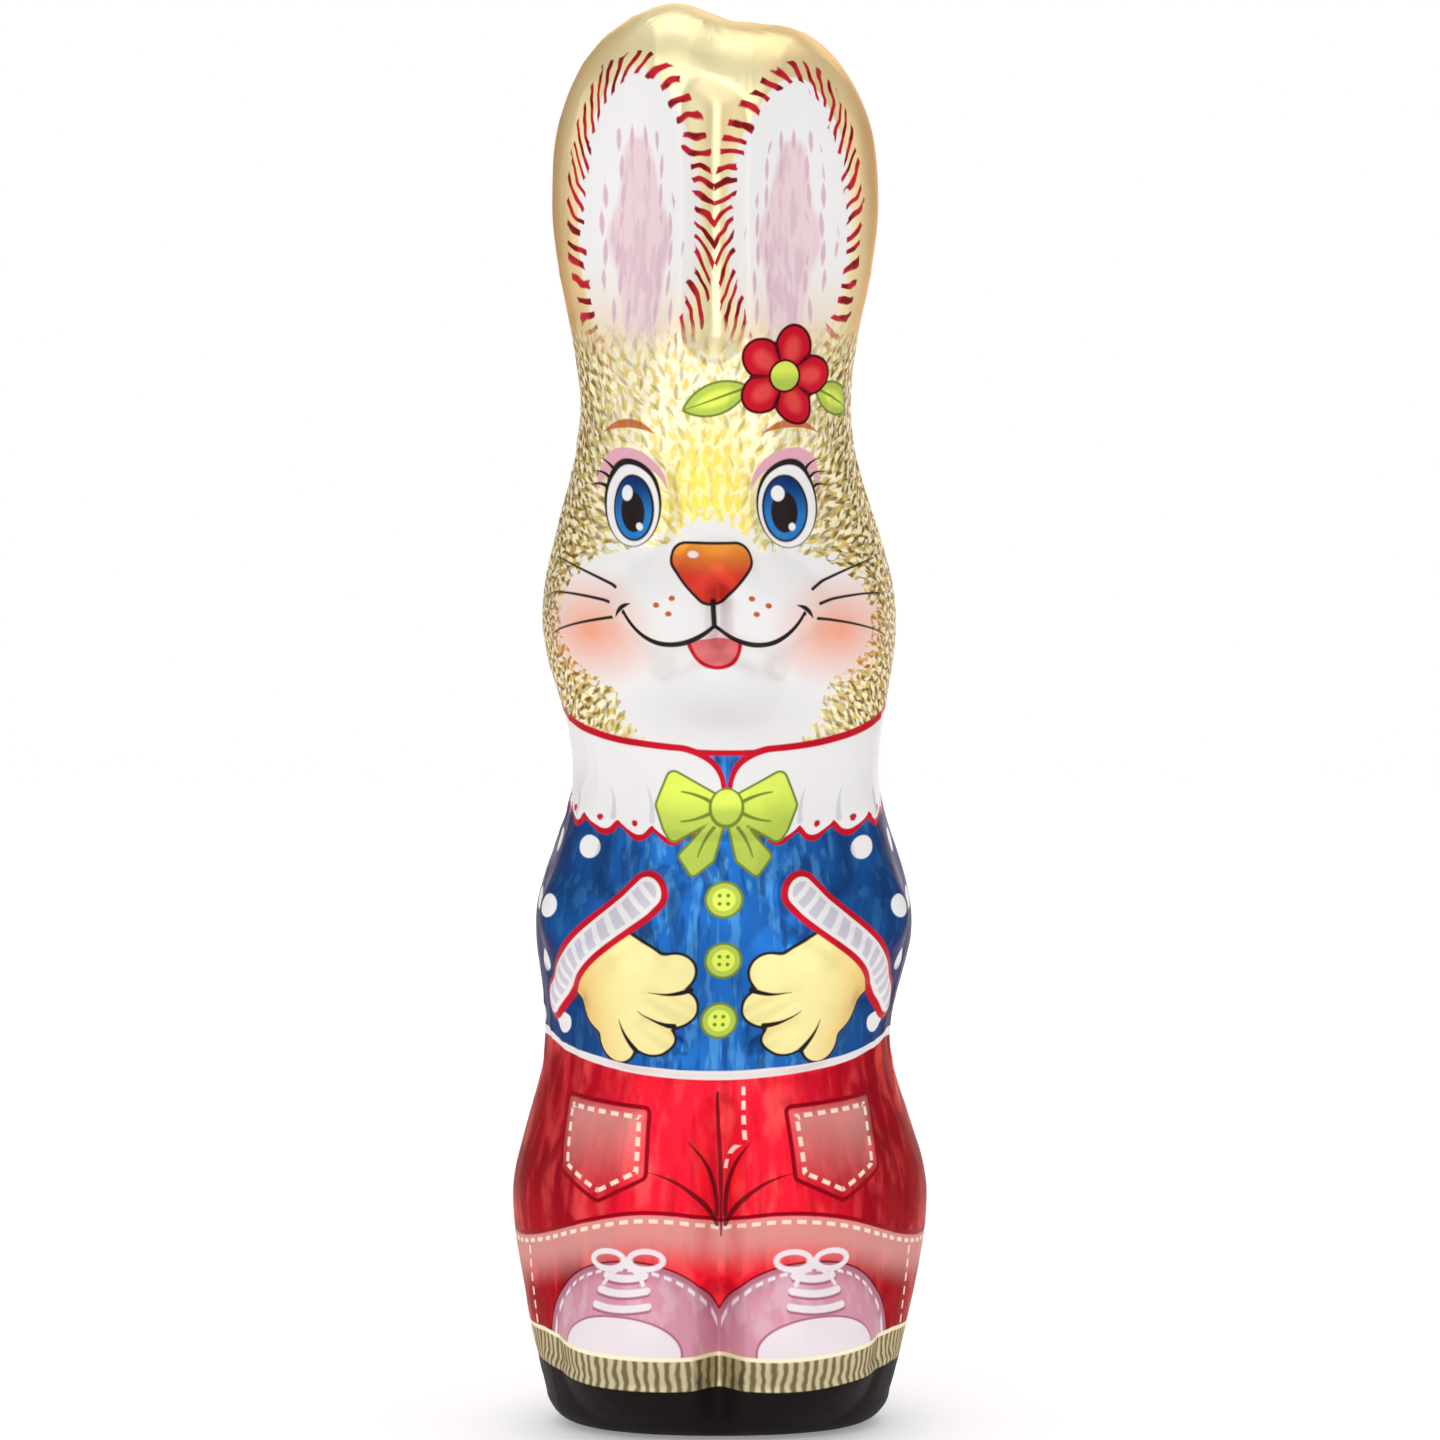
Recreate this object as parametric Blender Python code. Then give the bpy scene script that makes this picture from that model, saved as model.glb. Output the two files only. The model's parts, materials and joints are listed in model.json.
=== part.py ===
"""A hollow milk chocolate rabbit wrapped in printed foil, standing upright on its flat sole.

Metres, +Z up. The face looks along -Y and the rabbit's own right ear is on the -X side.
The origin is on the sole, under the middle of the figure.
The foil closes the figure all round, so it is one solid: a tube whose oval sections follow
the outline's widest and narrowest levels, with the moulded relief raised on it.
"""

import math
from collections import namedtuple

import bmesh
import bpy
import numpy as np

# Overall form
HEIGHT = 0.150
EARS_WIDEST = 0.1288
SOLE_EDGE = 0.0030
SECTION_POWER = 2.25
CROWN_POWER = 2.4
SOLE_SPREAD = 1.5

# The outline's turning points from the sole up: half width, depth in front of the seams,
# depth behind them, and how far the figure leans to +X there
Level = namedtuple("Level", "height half_width front back lean")
LEVELS = (
    Level(SOLE_EDGE, 0.0180, 0.0150, 0.0140, -0.0002),
    Level(0.0237, 0.0218, 0.0162, 0.0162, 0.0000),
    Level(0.0411, 0.0180, 0.0142, 0.0136, -0.0002),
    Level(0.0529, 0.0197, 0.0150, 0.0142, 0.0004),
    Level(0.0693, 0.0159, 0.0122, 0.0116, 0.0007),
    Level(0.0851, 0.0185, 0.0144, 0.0138, -0.0001),
    Level(0.1073, 0.0140, 0.0112, 0.0106, -0.0005),
    Level(EARS_WIDEST, 0.0170, 0.0092, 0.0086, -0.0005),
)

# Relief, as soft oval domes: place across the foil from the middle line, height, half width,
# half height, and how far the dome rises. A hollow has a negative rise.
Dome = namedtuple("Dome", "across height half_width half_height rise")
FRONT_PAIRS = (
    Dome(0.0086, 0.1290, 0.0056, 0.0180, -0.0013),  # hollow of the ear
    Dome(0.0084, 0.1046, 0.0062, 0.0040, 0.0009),  # brow
    Dome(0.0086, 0.0978, 0.0052, 0.0064, -0.0012),  # eye socket
    Dome(0.0086, 0.0976, 0.0036, 0.0048, 0.0014),  # eyeball
    Dome(0.0050, 0.0868, 0.0070, 0.0062, 0.0026),  # whisker pad
    Dome(0.0150, 0.0850, 0.0070, 0.0085, 0.0011),  # cheek
    Dome(0.0082, 0.0470, 0.0072, 0.0086, 0.0025),  # paw
    Dome(0.0110, 0.0255, 0.0105, 0.0130, 0.0014),  # knee
    Dome(0.0094, 0.0098, 0.0100, 0.0092, 0.0034),  # shoe
)
FRONT_MIDDLE = (
    Dome(0.0, 0.0915, 0.0040, 0.0034, 0.0021),  # nose
    Dome(0.0, 0.0790, 0.0066, 0.0046, 0.0015),  # chin
    Dome(0.0, 0.0560, 0.0080, 0.0070, 0.0006),  # chest
)
BACK_PAIRS = (
    Dome(0.0086, 0.1270, 0.0062, 0.0200, 0.0007),  # back of the ear
    Dome(0.0100, 0.0240, 0.0100, 0.0115, 0.0012),  # seat of the trousers
    Dome(0.0096, 0.0085, 0.0092, 0.0075, 0.0014),  # heel
)
BACK_MIDDLE = (
    Dome(0.0, 0.0930, 0.0130, 0.0130, 0.0009),  # back of the head
    Dome(0.0, 0.0372, 0.0074, 0.0070, 0.0036),  # tail
)

# Relief, as rounded rolls and grooves between two points of one half, copied to the other
Roll = namedtuple("Roll", "start end radius rise")
FRONT_ROLLS = (
    Roll((0.0165, 0.0640), (0.0185, 0.0565), 0.0060, 0.0010),  # upper arm
    Roll((0.0180, 0.0540), (0.0110, 0.0505), 0.0062, 0.0014),  # forearm
    Roll((0.0066, 0.0580), (0.0190, 0.0455), 0.0026, 0.0009),  # turned cuff
    Roll((0.0000, 0.0890), (0.0000, 0.0846), 0.0015, -0.0014),  # cleft under the nose
    Roll((0.0000, 0.0838), (0.0060, 0.0815), 0.0018, -0.0010),  # mouth
    Roll((0.0060, 0.0815), (0.0105, 0.0848), 0.0018, -0.0006),  # corner of the mouth
    Roll((0.0000, 0.0190), (0.0000, 0.0335), 0.0030, -0.0016),  # between the legs
    Roll((0.0000, 0.0000), (0.0000, 0.0150), 0.0028, -0.0022),  # between the shoes
    Roll((0.0030, 0.0448), (0.0062, 0.0470), 0.0012, -0.0008),  # upper finger line
    Roll((0.0040, 0.0415), (0.0068, 0.0438), 0.0012, -0.0008),  # lower finger line
)
BACK_ROLLS = (
    Roll((0.0000, 0.0080), (0.0000, 0.0270), 0.0028, -0.0014),  # between the legs
)
EAR_CLEFT = Roll((0.0, 0.1160), (0.0, 0.1400), 0.0036, -0.0026)

# Edges of the clothes, which run round the whole figure: height at the middle of the front,
# how much higher the sides and the back are, how far it stands out, and how soft it is
Edge = namedtuple("Edge", "height climb rise softness")
COLLAR_TOP = Edge(0.0724, 0.0035, -0.0006, 0.0014)
COLLAR_HEM = Edge(0.0634, 0.0030, 0.0006, 0.0012)
SHIRT_HEM = Edge(0.0384, 0.0033, 0.0007, 0.0012)
SOLE_LINE = Edge(0.0054, 0.0024, -0.0005, 0.0010)
EDGE_REACH = 0.022

# How the relief is rounded: the powers shape a dome's and a roll's flanks, and all relief
# fades out over the last stretch before the side seams, so that it leaves the outline alone
DOME_POWER = 1.3
ROLL_POWER = 1.5
SIDE_FADE = 0.010

# The crown: the +X ear is shorter, and the foil spans a shallow saddle between the two
EAR_DROP = 0.0013
DROP_FROM = -0.0050
DROP_TO = 0.0010
SADDLE_AT = 0.0030
SADDLE_DEPTH = 0.0010
SADDLE_WIDTH = 0.0040

# Mesh resolution. Rings lie closest over the face, where the relief is finest.
FRONT_COLUMNS = 46
BACK_COLUMNS = 26
SOLE_RINGS = 4
RING_BANDS = ((0.0160, 7), (0.0620, 22), (0.0760, 6), (0.1020, 20), (EARS_WIDEST, 10))
CROWN_RINGS = 9
CROWN_END = 0.985
ARC_SAMPLES = 361

# Colour fields of the print: name, upper edge, linear colour, and how metallic it is
Field = namedtuple("Field", "name top colour metallic")
FIELDS = (
    Field("black_sole", 0.0066, (0.014, 0.011, 0.012), 0.2),
    Field("pink_shoes", 0.0170, (0.672, 0.352, 0.423), 0.4),
    Field("red_trousers", 0.0395, (0.651, 0.008, 0.030), 0.8),
    Field("blue_shirt", 0.0645, (0.021, 0.100, 0.342), 0.8),
    Field("white_collar", 0.0742, (0.812, 0.791, 0.791), 0.1),
    Field("white_face", 0.0915, (0.831, 0.812, 0.791), 0.1),
    Field("gold_foil", HEIGHT, (0.784, 0.638, 0.318), 0.9),
)
FOIL_ROUGHNESS = 0.32
SHARP_ANGLE = math.radians(50.0)


def clear_scene():
    """Removes every object, so that the script starts from an empty scene."""
    for obj in list(bpy.data.objects):
        bpy.data.objects.remove(obj)


def smooth(value):
    """0 below 0, 1 above 1, and an even S curve between."""
    value = np.clip(value, 0.0, 1.0)
    return value * value * (3.0 - 2.0 * value)


def plain_sizes(height):
    """Half width, front depth, back depth and lean of the plain sections at some heights."""
    table = np.array(LEVELS)
    low = np.searchsorted(table[:, 0], height, side="right") - 1
    low = np.clip(low, 0, len(LEVELS) - 2)
    start, end = table[low], table[low + 1]
    share = np.clip((height - start[:, 0]) / (end[:, 0] - start[:, 0]), 0.0, 1.0)
    share = np.where(low == 0, 1.0 - (1.0 - share) ** SOLE_SPREAD, smooth(share))
    sizes = start[:, 1:] + (end - start)[:, 1:] * share[:, None]
    crown = np.clip((height - EARS_WIDEST) / (HEIGHT - EARS_WIDEST), 0.0, 1.0)
    sizes[:, :3] *= ((1.0 - crown**CROWN_POWER) ** (1.0 / CROWN_POWER))[:, None]
    return sizes.T


def section_radius(sizes, turn, inset=0.0):
    """Distance from the axis to the plain section. turn is 0 at the front and grows to +X."""
    half_width, front, back = (size[:, None] - inset for size in sizes[:3])
    depth = np.where(np.cos(turn) >= 0.0, front, back)
    across = np.abs(np.sin(turn) / half_width) ** SECTION_POWER
    along = np.abs(np.cos(turn) / depth) ** SECTION_POWER
    return (across + along) ** (-1.0 / SECTION_POWER)


def foil_places(sizes, turn):
    """Foil length from the nearer middle line, and from the seam (below 0 at the back)."""
    samples = np.linspace(0.0, math.pi, ARC_SAMPLES)[None, :]
    radii = section_radius(sizes, samples)
    steps = np.hypot(np.diff(radii * np.sin(samples)), np.diff(radii * np.cos(samples)))
    lengths = np.pad(np.cumsum(steps, axis=1), ((0, 0), (1, 0)))
    length = np.array([np.interp(np.abs(turn), samples[0], row) for row in lengths])
    whole, seam = lengths[:, -1:], lengths[:, ARC_SAMPLES // 2, None]
    return np.where(length <= seam, length, whole - length), seam - length


def dome_rise(dome, across, height):
    """How far a dome lifts the foil at each place."""
    aside = (across - dome.across) / dome.half_width
    above = (height - dome.height) / dome.half_height
    return dome.rise * np.clip(1.0 - aside**2 - above**2, 0.0, 1.0) ** DOME_POWER


def roll_rise(roll, across, height):
    """How far a roll lifts the foil, or how deep a groove cuts into it, at each place."""
    (start_x, start_z), (end_x, end_z) = roll.start, roll.end
    run_x, run_z = end_x - start_x, end_z - start_z
    share = (across - start_x) * run_x + (height - start_z) * run_z
    share = np.clip(share / (run_x**2 + run_z**2), 0.0, 1.0)
    away = np.hypot(across - start_x - share * run_x, height - start_z - share * run_z)
    return roll.rise * np.clip(1.0 - (away / roll.radius) ** 2, 0.0, 1.0) ** ROLL_POWER


def edge_rise(edge, across, height, front):
    """A garment's edge: above it the foil stands out by the edge's rise."""
    climb = edge.climb * np.where(front, np.clip(across / EDGE_REACH, 0.0, 1.0) ** 2, 1.0)
    return edge.rise * smooth((height - edge.height - climb) / edge.softness + 0.5)


def relief(across, beyond_seam, height):
    """The whole moulded relief at each place on the foil."""
    front = beyond_seam >= 0.0
    front_rise = sum(dome_rise(dome, across, height) for dome in FRONT_PAIRS + FRONT_MIDDLE)
    front_rise += sum(roll_rise(roll, across, height) for roll in FRONT_ROLLS)
    back_rise = sum(dome_rise(dome, across, height) for dome in BACK_PAIRS + BACK_MIDDLE)
    back_rise += sum(roll_rise(roll, across, height) for roll in BACK_ROLLS)
    rise = np.where(front, front_rise, back_rise) + roll_rise(EAR_CLEFT, across, height)
    for edge in (COLLAR_TOP, COLLAR_HEM, SHIRT_HEM, SOLE_LINE):
        rise += edge_rise(edge, across, height, front)
    return rise * smooth(np.abs(beyond_seam) / SIDE_FADE)


def crown_drop(x, height):
    """How far the crown lies under an even dome: the shorter ear and the saddle."""
    top = smooth((height - EARS_WIDEST) / (HEIGHT - EARS_WIDEST))
    shorter = EAR_DROP * smooth((x - DROP_FROM) / (DROP_TO - DROP_FROM))
    saddle = SADDLE_DEPTH * np.exp(-(((x - SADDLE_AT) / SADDLE_WIDTH) ** 2))
    return top * (shorter + saddle)


def ring_profile():
    """Height and inset of every ring, from the edge of the flat sole to the crown."""
    bend = np.linspace(0.0, math.pi / 2.0, SOLE_RINGS + 1)
    heights = list(SOLE_EDGE * (1.0 - np.cos(bend)))
    insets = list(SOLE_EDGE * (1.0 - np.sin(bend)))
    for top, rings in RING_BANDS:
        heights.extend(np.linspace(heights[-1], top, rings + 1)[1:])
    rise = np.sin(np.linspace(0.0, math.pi / 2.0 * CROWN_END, CROWN_RINGS + 1)[1:])
    heights.extend(EARS_WIDEST + (HEIGHT - EARS_WIDEST) * rise)
    insets.extend([0.0] * (len(heights) - len(insets)))
    return np.array(heights), np.array(insets)


def column_turns():
    """The turn of each column of vertices, counted from the -X seam over the front."""
    front = np.linspace(-math.pi / 2.0, math.pi / 2.0, FRONT_COLUMNS + 1)
    back = np.linspace(math.pi / 2.0, math.pi * 1.5, BACK_COLUMNS + 1)[1:-1]
    turns = np.concatenate([front, back])
    return np.where(turns > math.pi, turns - math.tau, turns)


def skin_points():
    """Every vertex of the foil's skin, as an array of rings by columns."""
    height, inset = ring_profile()
    turn = column_turns()
    sizes = plain_sizes(height)
    across, beyond_seam = foil_places(sizes, turn)
    at_crown = np.minimum(sizes[0] / LEVELS[-1].half_width, 1.0)[:, None]
    height = height[:, None]
    lift = relief(across, beyond_seam, height) * smooth(height / SOLE_EDGE) * at_crown
    radius = section_radius(sizes, turn[None, :], inset[:, None]) + lift
    x = radius * np.sin(turn)
    z = height - crown_drop(x, height)
    return np.stack([x + sizes[3][:, None], -radius * np.cos(turn), z], axis=-1)


def foil_material(field):
    """A foil material in a print colour."""
    material = bpy.data.materials.new(field.name)
    material.use_nodes = True
    shader = material.node_tree.nodes["Principled BSDF"]
    shader.inputs["Base Color"].default_value = (*field.colour, 1.0)
    shader.inputs["Metallic"].default_value = field.metallic
    shader.inputs["Roughness"].default_value = FOIL_ROUGHNESS
    return material


def shape_drum(mesh, points):
    """Fills the mesh with a closed drum, cut into rings, and moves it onto the points."""
    rings, columns = points.shape[:2]
    drum = bmesh.new()
    bmesh.ops.create_cone(
        drum, cap_ends=True, segments=columns, radius1=1.0, radius2=1.0, depth=1.0
    )
    uprights = [edge for edge in drum.edges if edge.verts[0].co.z * edge.verts[1].co.z < 0.0]
    bmesh.ops.subdivide_edges(drum, edges=uprights, cuts=rings - 2)
    for vert in drum.verts:
        ring = round((vert.co.z + 0.5) * (rings - 1))
        share = math.atan2(vert.co.y, vert.co.x) / math.tau
        vert.co = points[ring, round(share * columns) % columns]
    bmesh.ops.triangulate(drum, faces=drum.faces, quad_method="SHORT_EDGE")
    drum.to_mesh(mesh)
    drum.free()


def centred(points):
    """The points with the origin under the middle of their box and the sole at zero."""
    low = points.reshape(-1, 3).min(axis=0)
    high = points.reshape(-1, 3).max(axis=0)
    middle = (low + high) / 2.0
    return points - np.array([middle[0], middle[1], low[2]])


def paint_fields(mesh):
    """Gives every face the material of the colour field that its middle lies in."""
    for field in FIELDS:
        mesh.materials.append(foil_material(field))
    for face in mesh.polygons:
        above = sum(face.center.z > field.top for field in FIELDS)
        face.material_index = min(above, len(FIELDS) - 1)


def build_rabbit(collection):
    """The foil-wrapped rabbit, as one closed solid."""
    mesh = bpy.data.meshes.new("wrapped_bunny")
    shape_drum(mesh, centred(skin_points()))
    paint_fields(mesh)
    mesh.shade_smooth()
    mesh.set_sharp_from_angle(angle=SHARP_ANGLE)
    rabbit = bpy.data.objects.new("wrapped_bunny", mesh)
    collection.objects.link(rabbit)
    return rabbit


def main():
    clear_scene()
    collection = bpy.data.collections.new("chocolate_bunny")
    bpy.context.scene.collection.children.link(collection)
    build_rabbit(collection)


main()
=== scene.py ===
"""The looks of the foil-wrapped chocolate rabbit.

Two crinkled sheets of printed foil stand for the solid, one over the front and one over the
back, lapped along the sides. Each is a fine grid over the same tube of oval sections, with
the same moulded relief. The print is drawn flat, in millimetres across the foil and up it.
"""

import json
import math
from collections import namedtuple

import bpy
import numpy as np
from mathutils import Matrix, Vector

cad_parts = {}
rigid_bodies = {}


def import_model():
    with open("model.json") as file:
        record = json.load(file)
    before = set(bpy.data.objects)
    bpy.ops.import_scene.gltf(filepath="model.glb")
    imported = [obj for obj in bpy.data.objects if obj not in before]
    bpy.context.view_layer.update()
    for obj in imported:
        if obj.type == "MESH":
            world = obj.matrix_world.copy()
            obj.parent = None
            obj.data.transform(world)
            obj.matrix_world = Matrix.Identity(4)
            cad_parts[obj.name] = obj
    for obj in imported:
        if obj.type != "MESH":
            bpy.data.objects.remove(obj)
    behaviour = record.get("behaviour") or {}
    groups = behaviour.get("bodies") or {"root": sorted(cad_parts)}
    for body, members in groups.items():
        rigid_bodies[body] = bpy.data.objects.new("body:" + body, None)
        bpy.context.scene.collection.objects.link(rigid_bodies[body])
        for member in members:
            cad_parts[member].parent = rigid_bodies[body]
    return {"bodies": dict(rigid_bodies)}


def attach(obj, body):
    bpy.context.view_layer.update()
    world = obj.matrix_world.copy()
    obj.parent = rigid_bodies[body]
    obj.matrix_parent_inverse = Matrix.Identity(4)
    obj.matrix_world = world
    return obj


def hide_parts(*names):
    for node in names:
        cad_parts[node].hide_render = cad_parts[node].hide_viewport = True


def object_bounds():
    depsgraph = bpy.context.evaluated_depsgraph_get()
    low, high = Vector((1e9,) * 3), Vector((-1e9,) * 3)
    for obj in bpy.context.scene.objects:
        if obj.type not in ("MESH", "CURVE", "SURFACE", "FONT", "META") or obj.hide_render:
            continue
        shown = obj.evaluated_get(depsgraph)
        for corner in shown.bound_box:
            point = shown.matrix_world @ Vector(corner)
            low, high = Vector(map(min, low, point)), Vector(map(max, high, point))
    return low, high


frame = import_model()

CAD_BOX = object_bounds()
NODE = "wrapped_bunny"
MM = 0.001

# Overall form, in millimetres, as the solid has it
HEIGHT = 150.0
EARS_WIDEST = 128.8
SOLE_EDGE = 3.0
SECTION_POWER = 2.25
CROWN_POWER = 2.4
SOLE_SPREAD = 1.5
Level = namedtuple("Level", "height half_width front back lean")
LEVELS = (
    Level(SOLE_EDGE, 18.0, 15.0, 14.0, -0.2),
    Level(23.7, 21.8, 16.2, 16.2, 0.0),
    Level(41.1, 18.0, 14.2, 13.6, -0.2),
    Level(52.9, 19.7, 15.0, 14.2, 0.4),
    Level(69.3, 15.9, 12.2, 11.6, 0.7),
    Level(85.1, 18.5, 14.4, 13.8, -0.1),
    Level(107.3, 14.0, 11.2, 10.6, -0.5),
    Level(EARS_WIDEST, 17.0, 9.2, 8.6, -0.5),
)

# Moulded relief: soft domes, and rolls or grooves between two points, on half a side
Dome = namedtuple("Dome", "across height half_width half_height rise")
Roll = namedtuple("Roll", "start end radius rise")
FRONT_DOMES = (
    Dome(8.6, 129.0, 5.6, 18.0, -1.3),  # hollow of the ear
    Dome(8.4, 104.6, 6.2, 4.0, 0.9),  # brow
    Dome(8.6, 97.8, 5.2, 6.4, -1.2),  # eye socket
    Dome(8.6, 97.6, 3.6, 4.8, 1.4),  # eyeball
    Dome(5.0, 86.8, 7.0, 6.2, 2.6),  # whisker pad
    Dome(15.0, 85.0, 7.0, 8.5, 1.1),  # cheek
    Dome(8.2, 47.0, 7.2, 8.6, 2.5),  # paw
    Dome(11.0, 25.5, 10.5, 13.0, 1.4),  # knee
    Dome(9.4, 9.8, 10.0, 9.2, 3.4),  # shoe
    Dome(0.0, 91.5, 4.0, 3.4, 2.1),  # nose
    Dome(0.0, 79.0, 6.6, 4.6, 1.5),  # chin
    Dome(0.0, 56.0, 8.0, 7.0, 0.6),  # chest
)
BACK_DOMES = (
    Dome(8.6, 127.0, 6.2, 20.0, 0.7),  # back of the ear
    Dome(10.0, 24.0, 10.0, 11.5, 1.2),  # seat of the trousers
    Dome(9.6, 8.5, 9.2, 7.5, 1.4),  # heel
    Dome(0.0, 93.0, 13.0, 13.0, 0.9),  # back of the head
    Dome(0.0, 37.2, 7.4, 7.0, 3.6),  # tail
)
FRONT_ROLLS = (
    Roll((16.5, 64.0), (18.5, 56.5), 6.0, 1.0),  # upper arm
    Roll((18.0, 54.0), (11.0, 50.5), 6.2, 1.4),  # forearm
    Roll((6.6, 58.0), (19.0, 45.5), 2.6, 0.9),  # turned cuff
    Roll((0.0, 89.0), (0.0, 84.6), 1.5, -1.4),  # cleft under the nose
    Roll((0.0, 83.8), (6.0, 81.5), 1.8, -1.0),  # mouth
    Roll((6.0, 81.5), (10.5, 84.8), 1.8, -0.6),  # corner of the mouth
    Roll((0.0, 19.0), (0.0, 33.5), 3.0, -1.6),  # between the legs
    Roll((0.0, 0.0), (0.0, 15.0), 2.8, -2.2),  # between the shoes
    Roll((3.0, 44.8), (6.2, 47.0), 1.2, -0.8),  # upper finger line
    Roll((4.0, 41.5), (6.8, 43.8), 1.2, -0.8),  # lower finger line
)
BACK_ROLLS = (Roll((0.0, 8.0), (0.0, 27.0), 2.8, -1.4),)  # between the legs
EAR_CLEFT = Roll((0.0, 116.0), (0.0, 140.0), 3.6, -2.1)
Edge = namedtuple("Edge", "height climb rise softness")
COLLAR_TOP = Edge(72.4, 3.5, -0.6, 1.4)
COLLAR_HEM = Edge(63.4, 3.0, 0.6, 1.2)
SHIRT_HEM = Edge(38.4, 3.3, 0.7, 1.2)
SOLE_LINE = Edge(5.4, 2.4, -0.5, 1.0)
EDGE_REACH = 22.0
DOME_POWER = 1.3
ROLL_POWER = 1.5
SIDE_FADE = 10.0

# The crown: the +X ear is shorter, and the foil spans a shallow saddle between the two
EAR_DROP = 1.3
DROP_FROM = -5.0
DROP_TO = 1.0
SADDLE_AT = 3.0
SADDLE_DEPTH = 1.0
SADDLE_WIDTH = 4.0

# The foil sheets: rows from the middle of the sole to the crown, and columns across
SOLE_ROWS = 28
BEND_ROWS = 12
BODY_ROWS = 362
CROWN_ROWS = 38
CROWN_END = 0.9999
SOLE_START = 0.004
FRONT_COLUMNS = 214
BACK_COLUMNS = 150
ARC_SAMPLES = 361
RIM_SAMPLES = 721
ROUND_SAMPLES = 145
LAP_TURN = math.radians(4.0)
LAP_WANDER = math.radians(1.2)
LAP_CELL = 9.0
LAP_LIFT = 0.14
LAP_REACH = 3.0

# Crinkles, in millimetres: how high they stand, how large their cells are and how sharp
DENT_HEIGHT = 0.05
DENT_CELL = 5.0
SMALL_DENT_CELL = 2.3
BEND = 1.2
BEND_CELL = 4.0
CREASE_HEIGHT = 0.05
CREASE_CELL = 6.0
CREASE_SHARPNESS = 7.0
PLEAT_HEIGHT = 0.22
PLEAT_CELL = (2.8, 2.8, 16.0)
PLEAT_SHARPNESS = 6.0
SPARE_FOIL = (0.5, 0.0, 1.0, 0.1, 1.0, 0.0, 0.9, 0.0, 0.7)  # at each level and the crown
ALL_OVER = 0.4
FRONT_PRESSED = 0.75
PRESSED_REACH = 16.0
SOLE_PLEAT_HEIGHT = 0.35
SOLE_PLEATS = 17.0
SOLE_PLEAT_WANDER = 2.5
SOLE_PLEAT_CELL = 9.0
SOLE_RIM = (1.02, 0.2)
SOLE_MIDDLE = 0.3

# The print: how far it sits off the mould's middle at face height, and how much it wanders
PRINT_OFFSET = -0.9
PRINT_OFFSET_HEIGHT = 98.0
PRINT_OFFSET_REACH = 16.0
PRINT_WANDER = 0.16
WANDER_CELL = 7.0
SOFT_EDGE = 0.07


# Plain numbers, and lengths on the flat foil

CORNER_MIX = (12.9898, 78.233, 37.719)
SEED_MIX = 4.1414
SCATTER = 43758.5453


def smooth(value):
    """0 below 0, 1 above 1, and an even S curve between."""
    value = np.clip(value, 0.0, 1.0)
    return value * value * (3.0 - 2.0 * value)


def corner_value(corner, seed):
    """A fixed pseudo-random number from -1 to 1 at each whole-number corner."""
    scattered = np.sin(corner @ np.array(CORNER_MIX) + seed * SEED_MIX) * SCATTER
    return 2.0 * (scattered - np.floor(scattered)) - 1.0


def noise(points, seed):
    """Smooth noise from -1 to 1 at points that are given in cells."""
    base = np.floor(points)
    part = smooth(points - base)
    total = 0.0
    for corner in np.ndindex(2, 2, 2):
        weight = np.prod(np.where(corner, part, 1.0 - part), axis=-1)
        total = total + weight * corner_value(base + corner, seed)
    return total


def creases(points, seed, sharpness):
    """Thin ridges from 0 to 1 along the winding lines where the noise is zero."""
    return (1.0 - np.abs(noise(points, seed))) ** sharpness


Flat = namedtuple("Flat", "s z")


def limb(flat, start, end):
    """A rounded bar between two points, each an (s, z, radius)."""
    run = np.subtract(end[:2], start[:2])
    share = ((flat.s - start[0]) * run[0] + (flat.z - start[1]) * run[1]) / (run @ run)
    share = np.clip(share, 0.0, 1.0)
    away = np.hypot(flat.s - start[0] - share * run[0], flat.z - start[1] - share * run[1])
    return away - (start[2] + (end[2] - start[2]) * share)


# The figure's skin


def plain_sizes(height):
    """Half width, front depth, back depth and lean of the plain sections at some heights."""
    table = np.array(LEVELS)
    low = np.searchsorted(table[:, 0], height, side="right") - 1
    low = np.clip(low, 0, len(LEVELS) - 2)
    start, end = table[low], table[low + 1]
    share = np.clip((height - start[:, 0]) / (end[:, 0] - start[:, 0]), 0.0, 1.0)
    share = np.where(low == 0, 1.0 - (1.0 - share) ** SOLE_SPREAD, smooth(share))
    sizes = start[:, 1:] + (end - start)[:, 1:] * share[:, None]
    crown = np.clip((height - EARS_WIDEST) / (HEIGHT - EARS_WIDEST), 0.0, 1.0)
    sizes[:, :3] *= ((1.0 - crown**CROWN_POWER) ** (1.0 / CROWN_POWER))[:, None]
    return sizes.T


def section_radius(sizes, turn, inset=0.0):
    """Distance from the axis to the plain section. turn is 0 at the front and grows to +X."""
    half_width, front, back = (size[:, None] - inset for size in sizes[:3])
    depth = np.where(np.cos(turn) >= 0.0, front, back)
    across = np.abs(np.sin(turn) / half_width) ** SECTION_POWER
    along = np.abs(np.cos(turn) / depth) ** SECTION_POWER
    return (across + along) ** (-1.0 / SECTION_POWER)


def foil_places(sizes, turn):
    """Foil length from the nearer middle line, and from the seam (below 0 at the back)."""
    samples = np.linspace(0.0, math.pi, ARC_SAMPLES)[None, :]
    radii = section_radius(sizes, samples)
    steps = np.hypot(np.diff(radii * np.sin(samples)), np.diff(radii * np.cos(samples)))
    lengths = np.pad(np.cumsum(steps, axis=1), ((0, 0), (1, 0)))
    turns = np.broadcast_to(np.abs(turn), (len(lengths), turn.shape[-1]))
    length = np.array([np.interp(turned, samples[0], row) for turned, row in zip(turns, lengths)])
    whole, seam = lengths[:, -1:], lengths[:, ARC_SAMPLES // 2, None]
    return np.where(length <= seam, length, whole - length), seam - length


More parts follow.
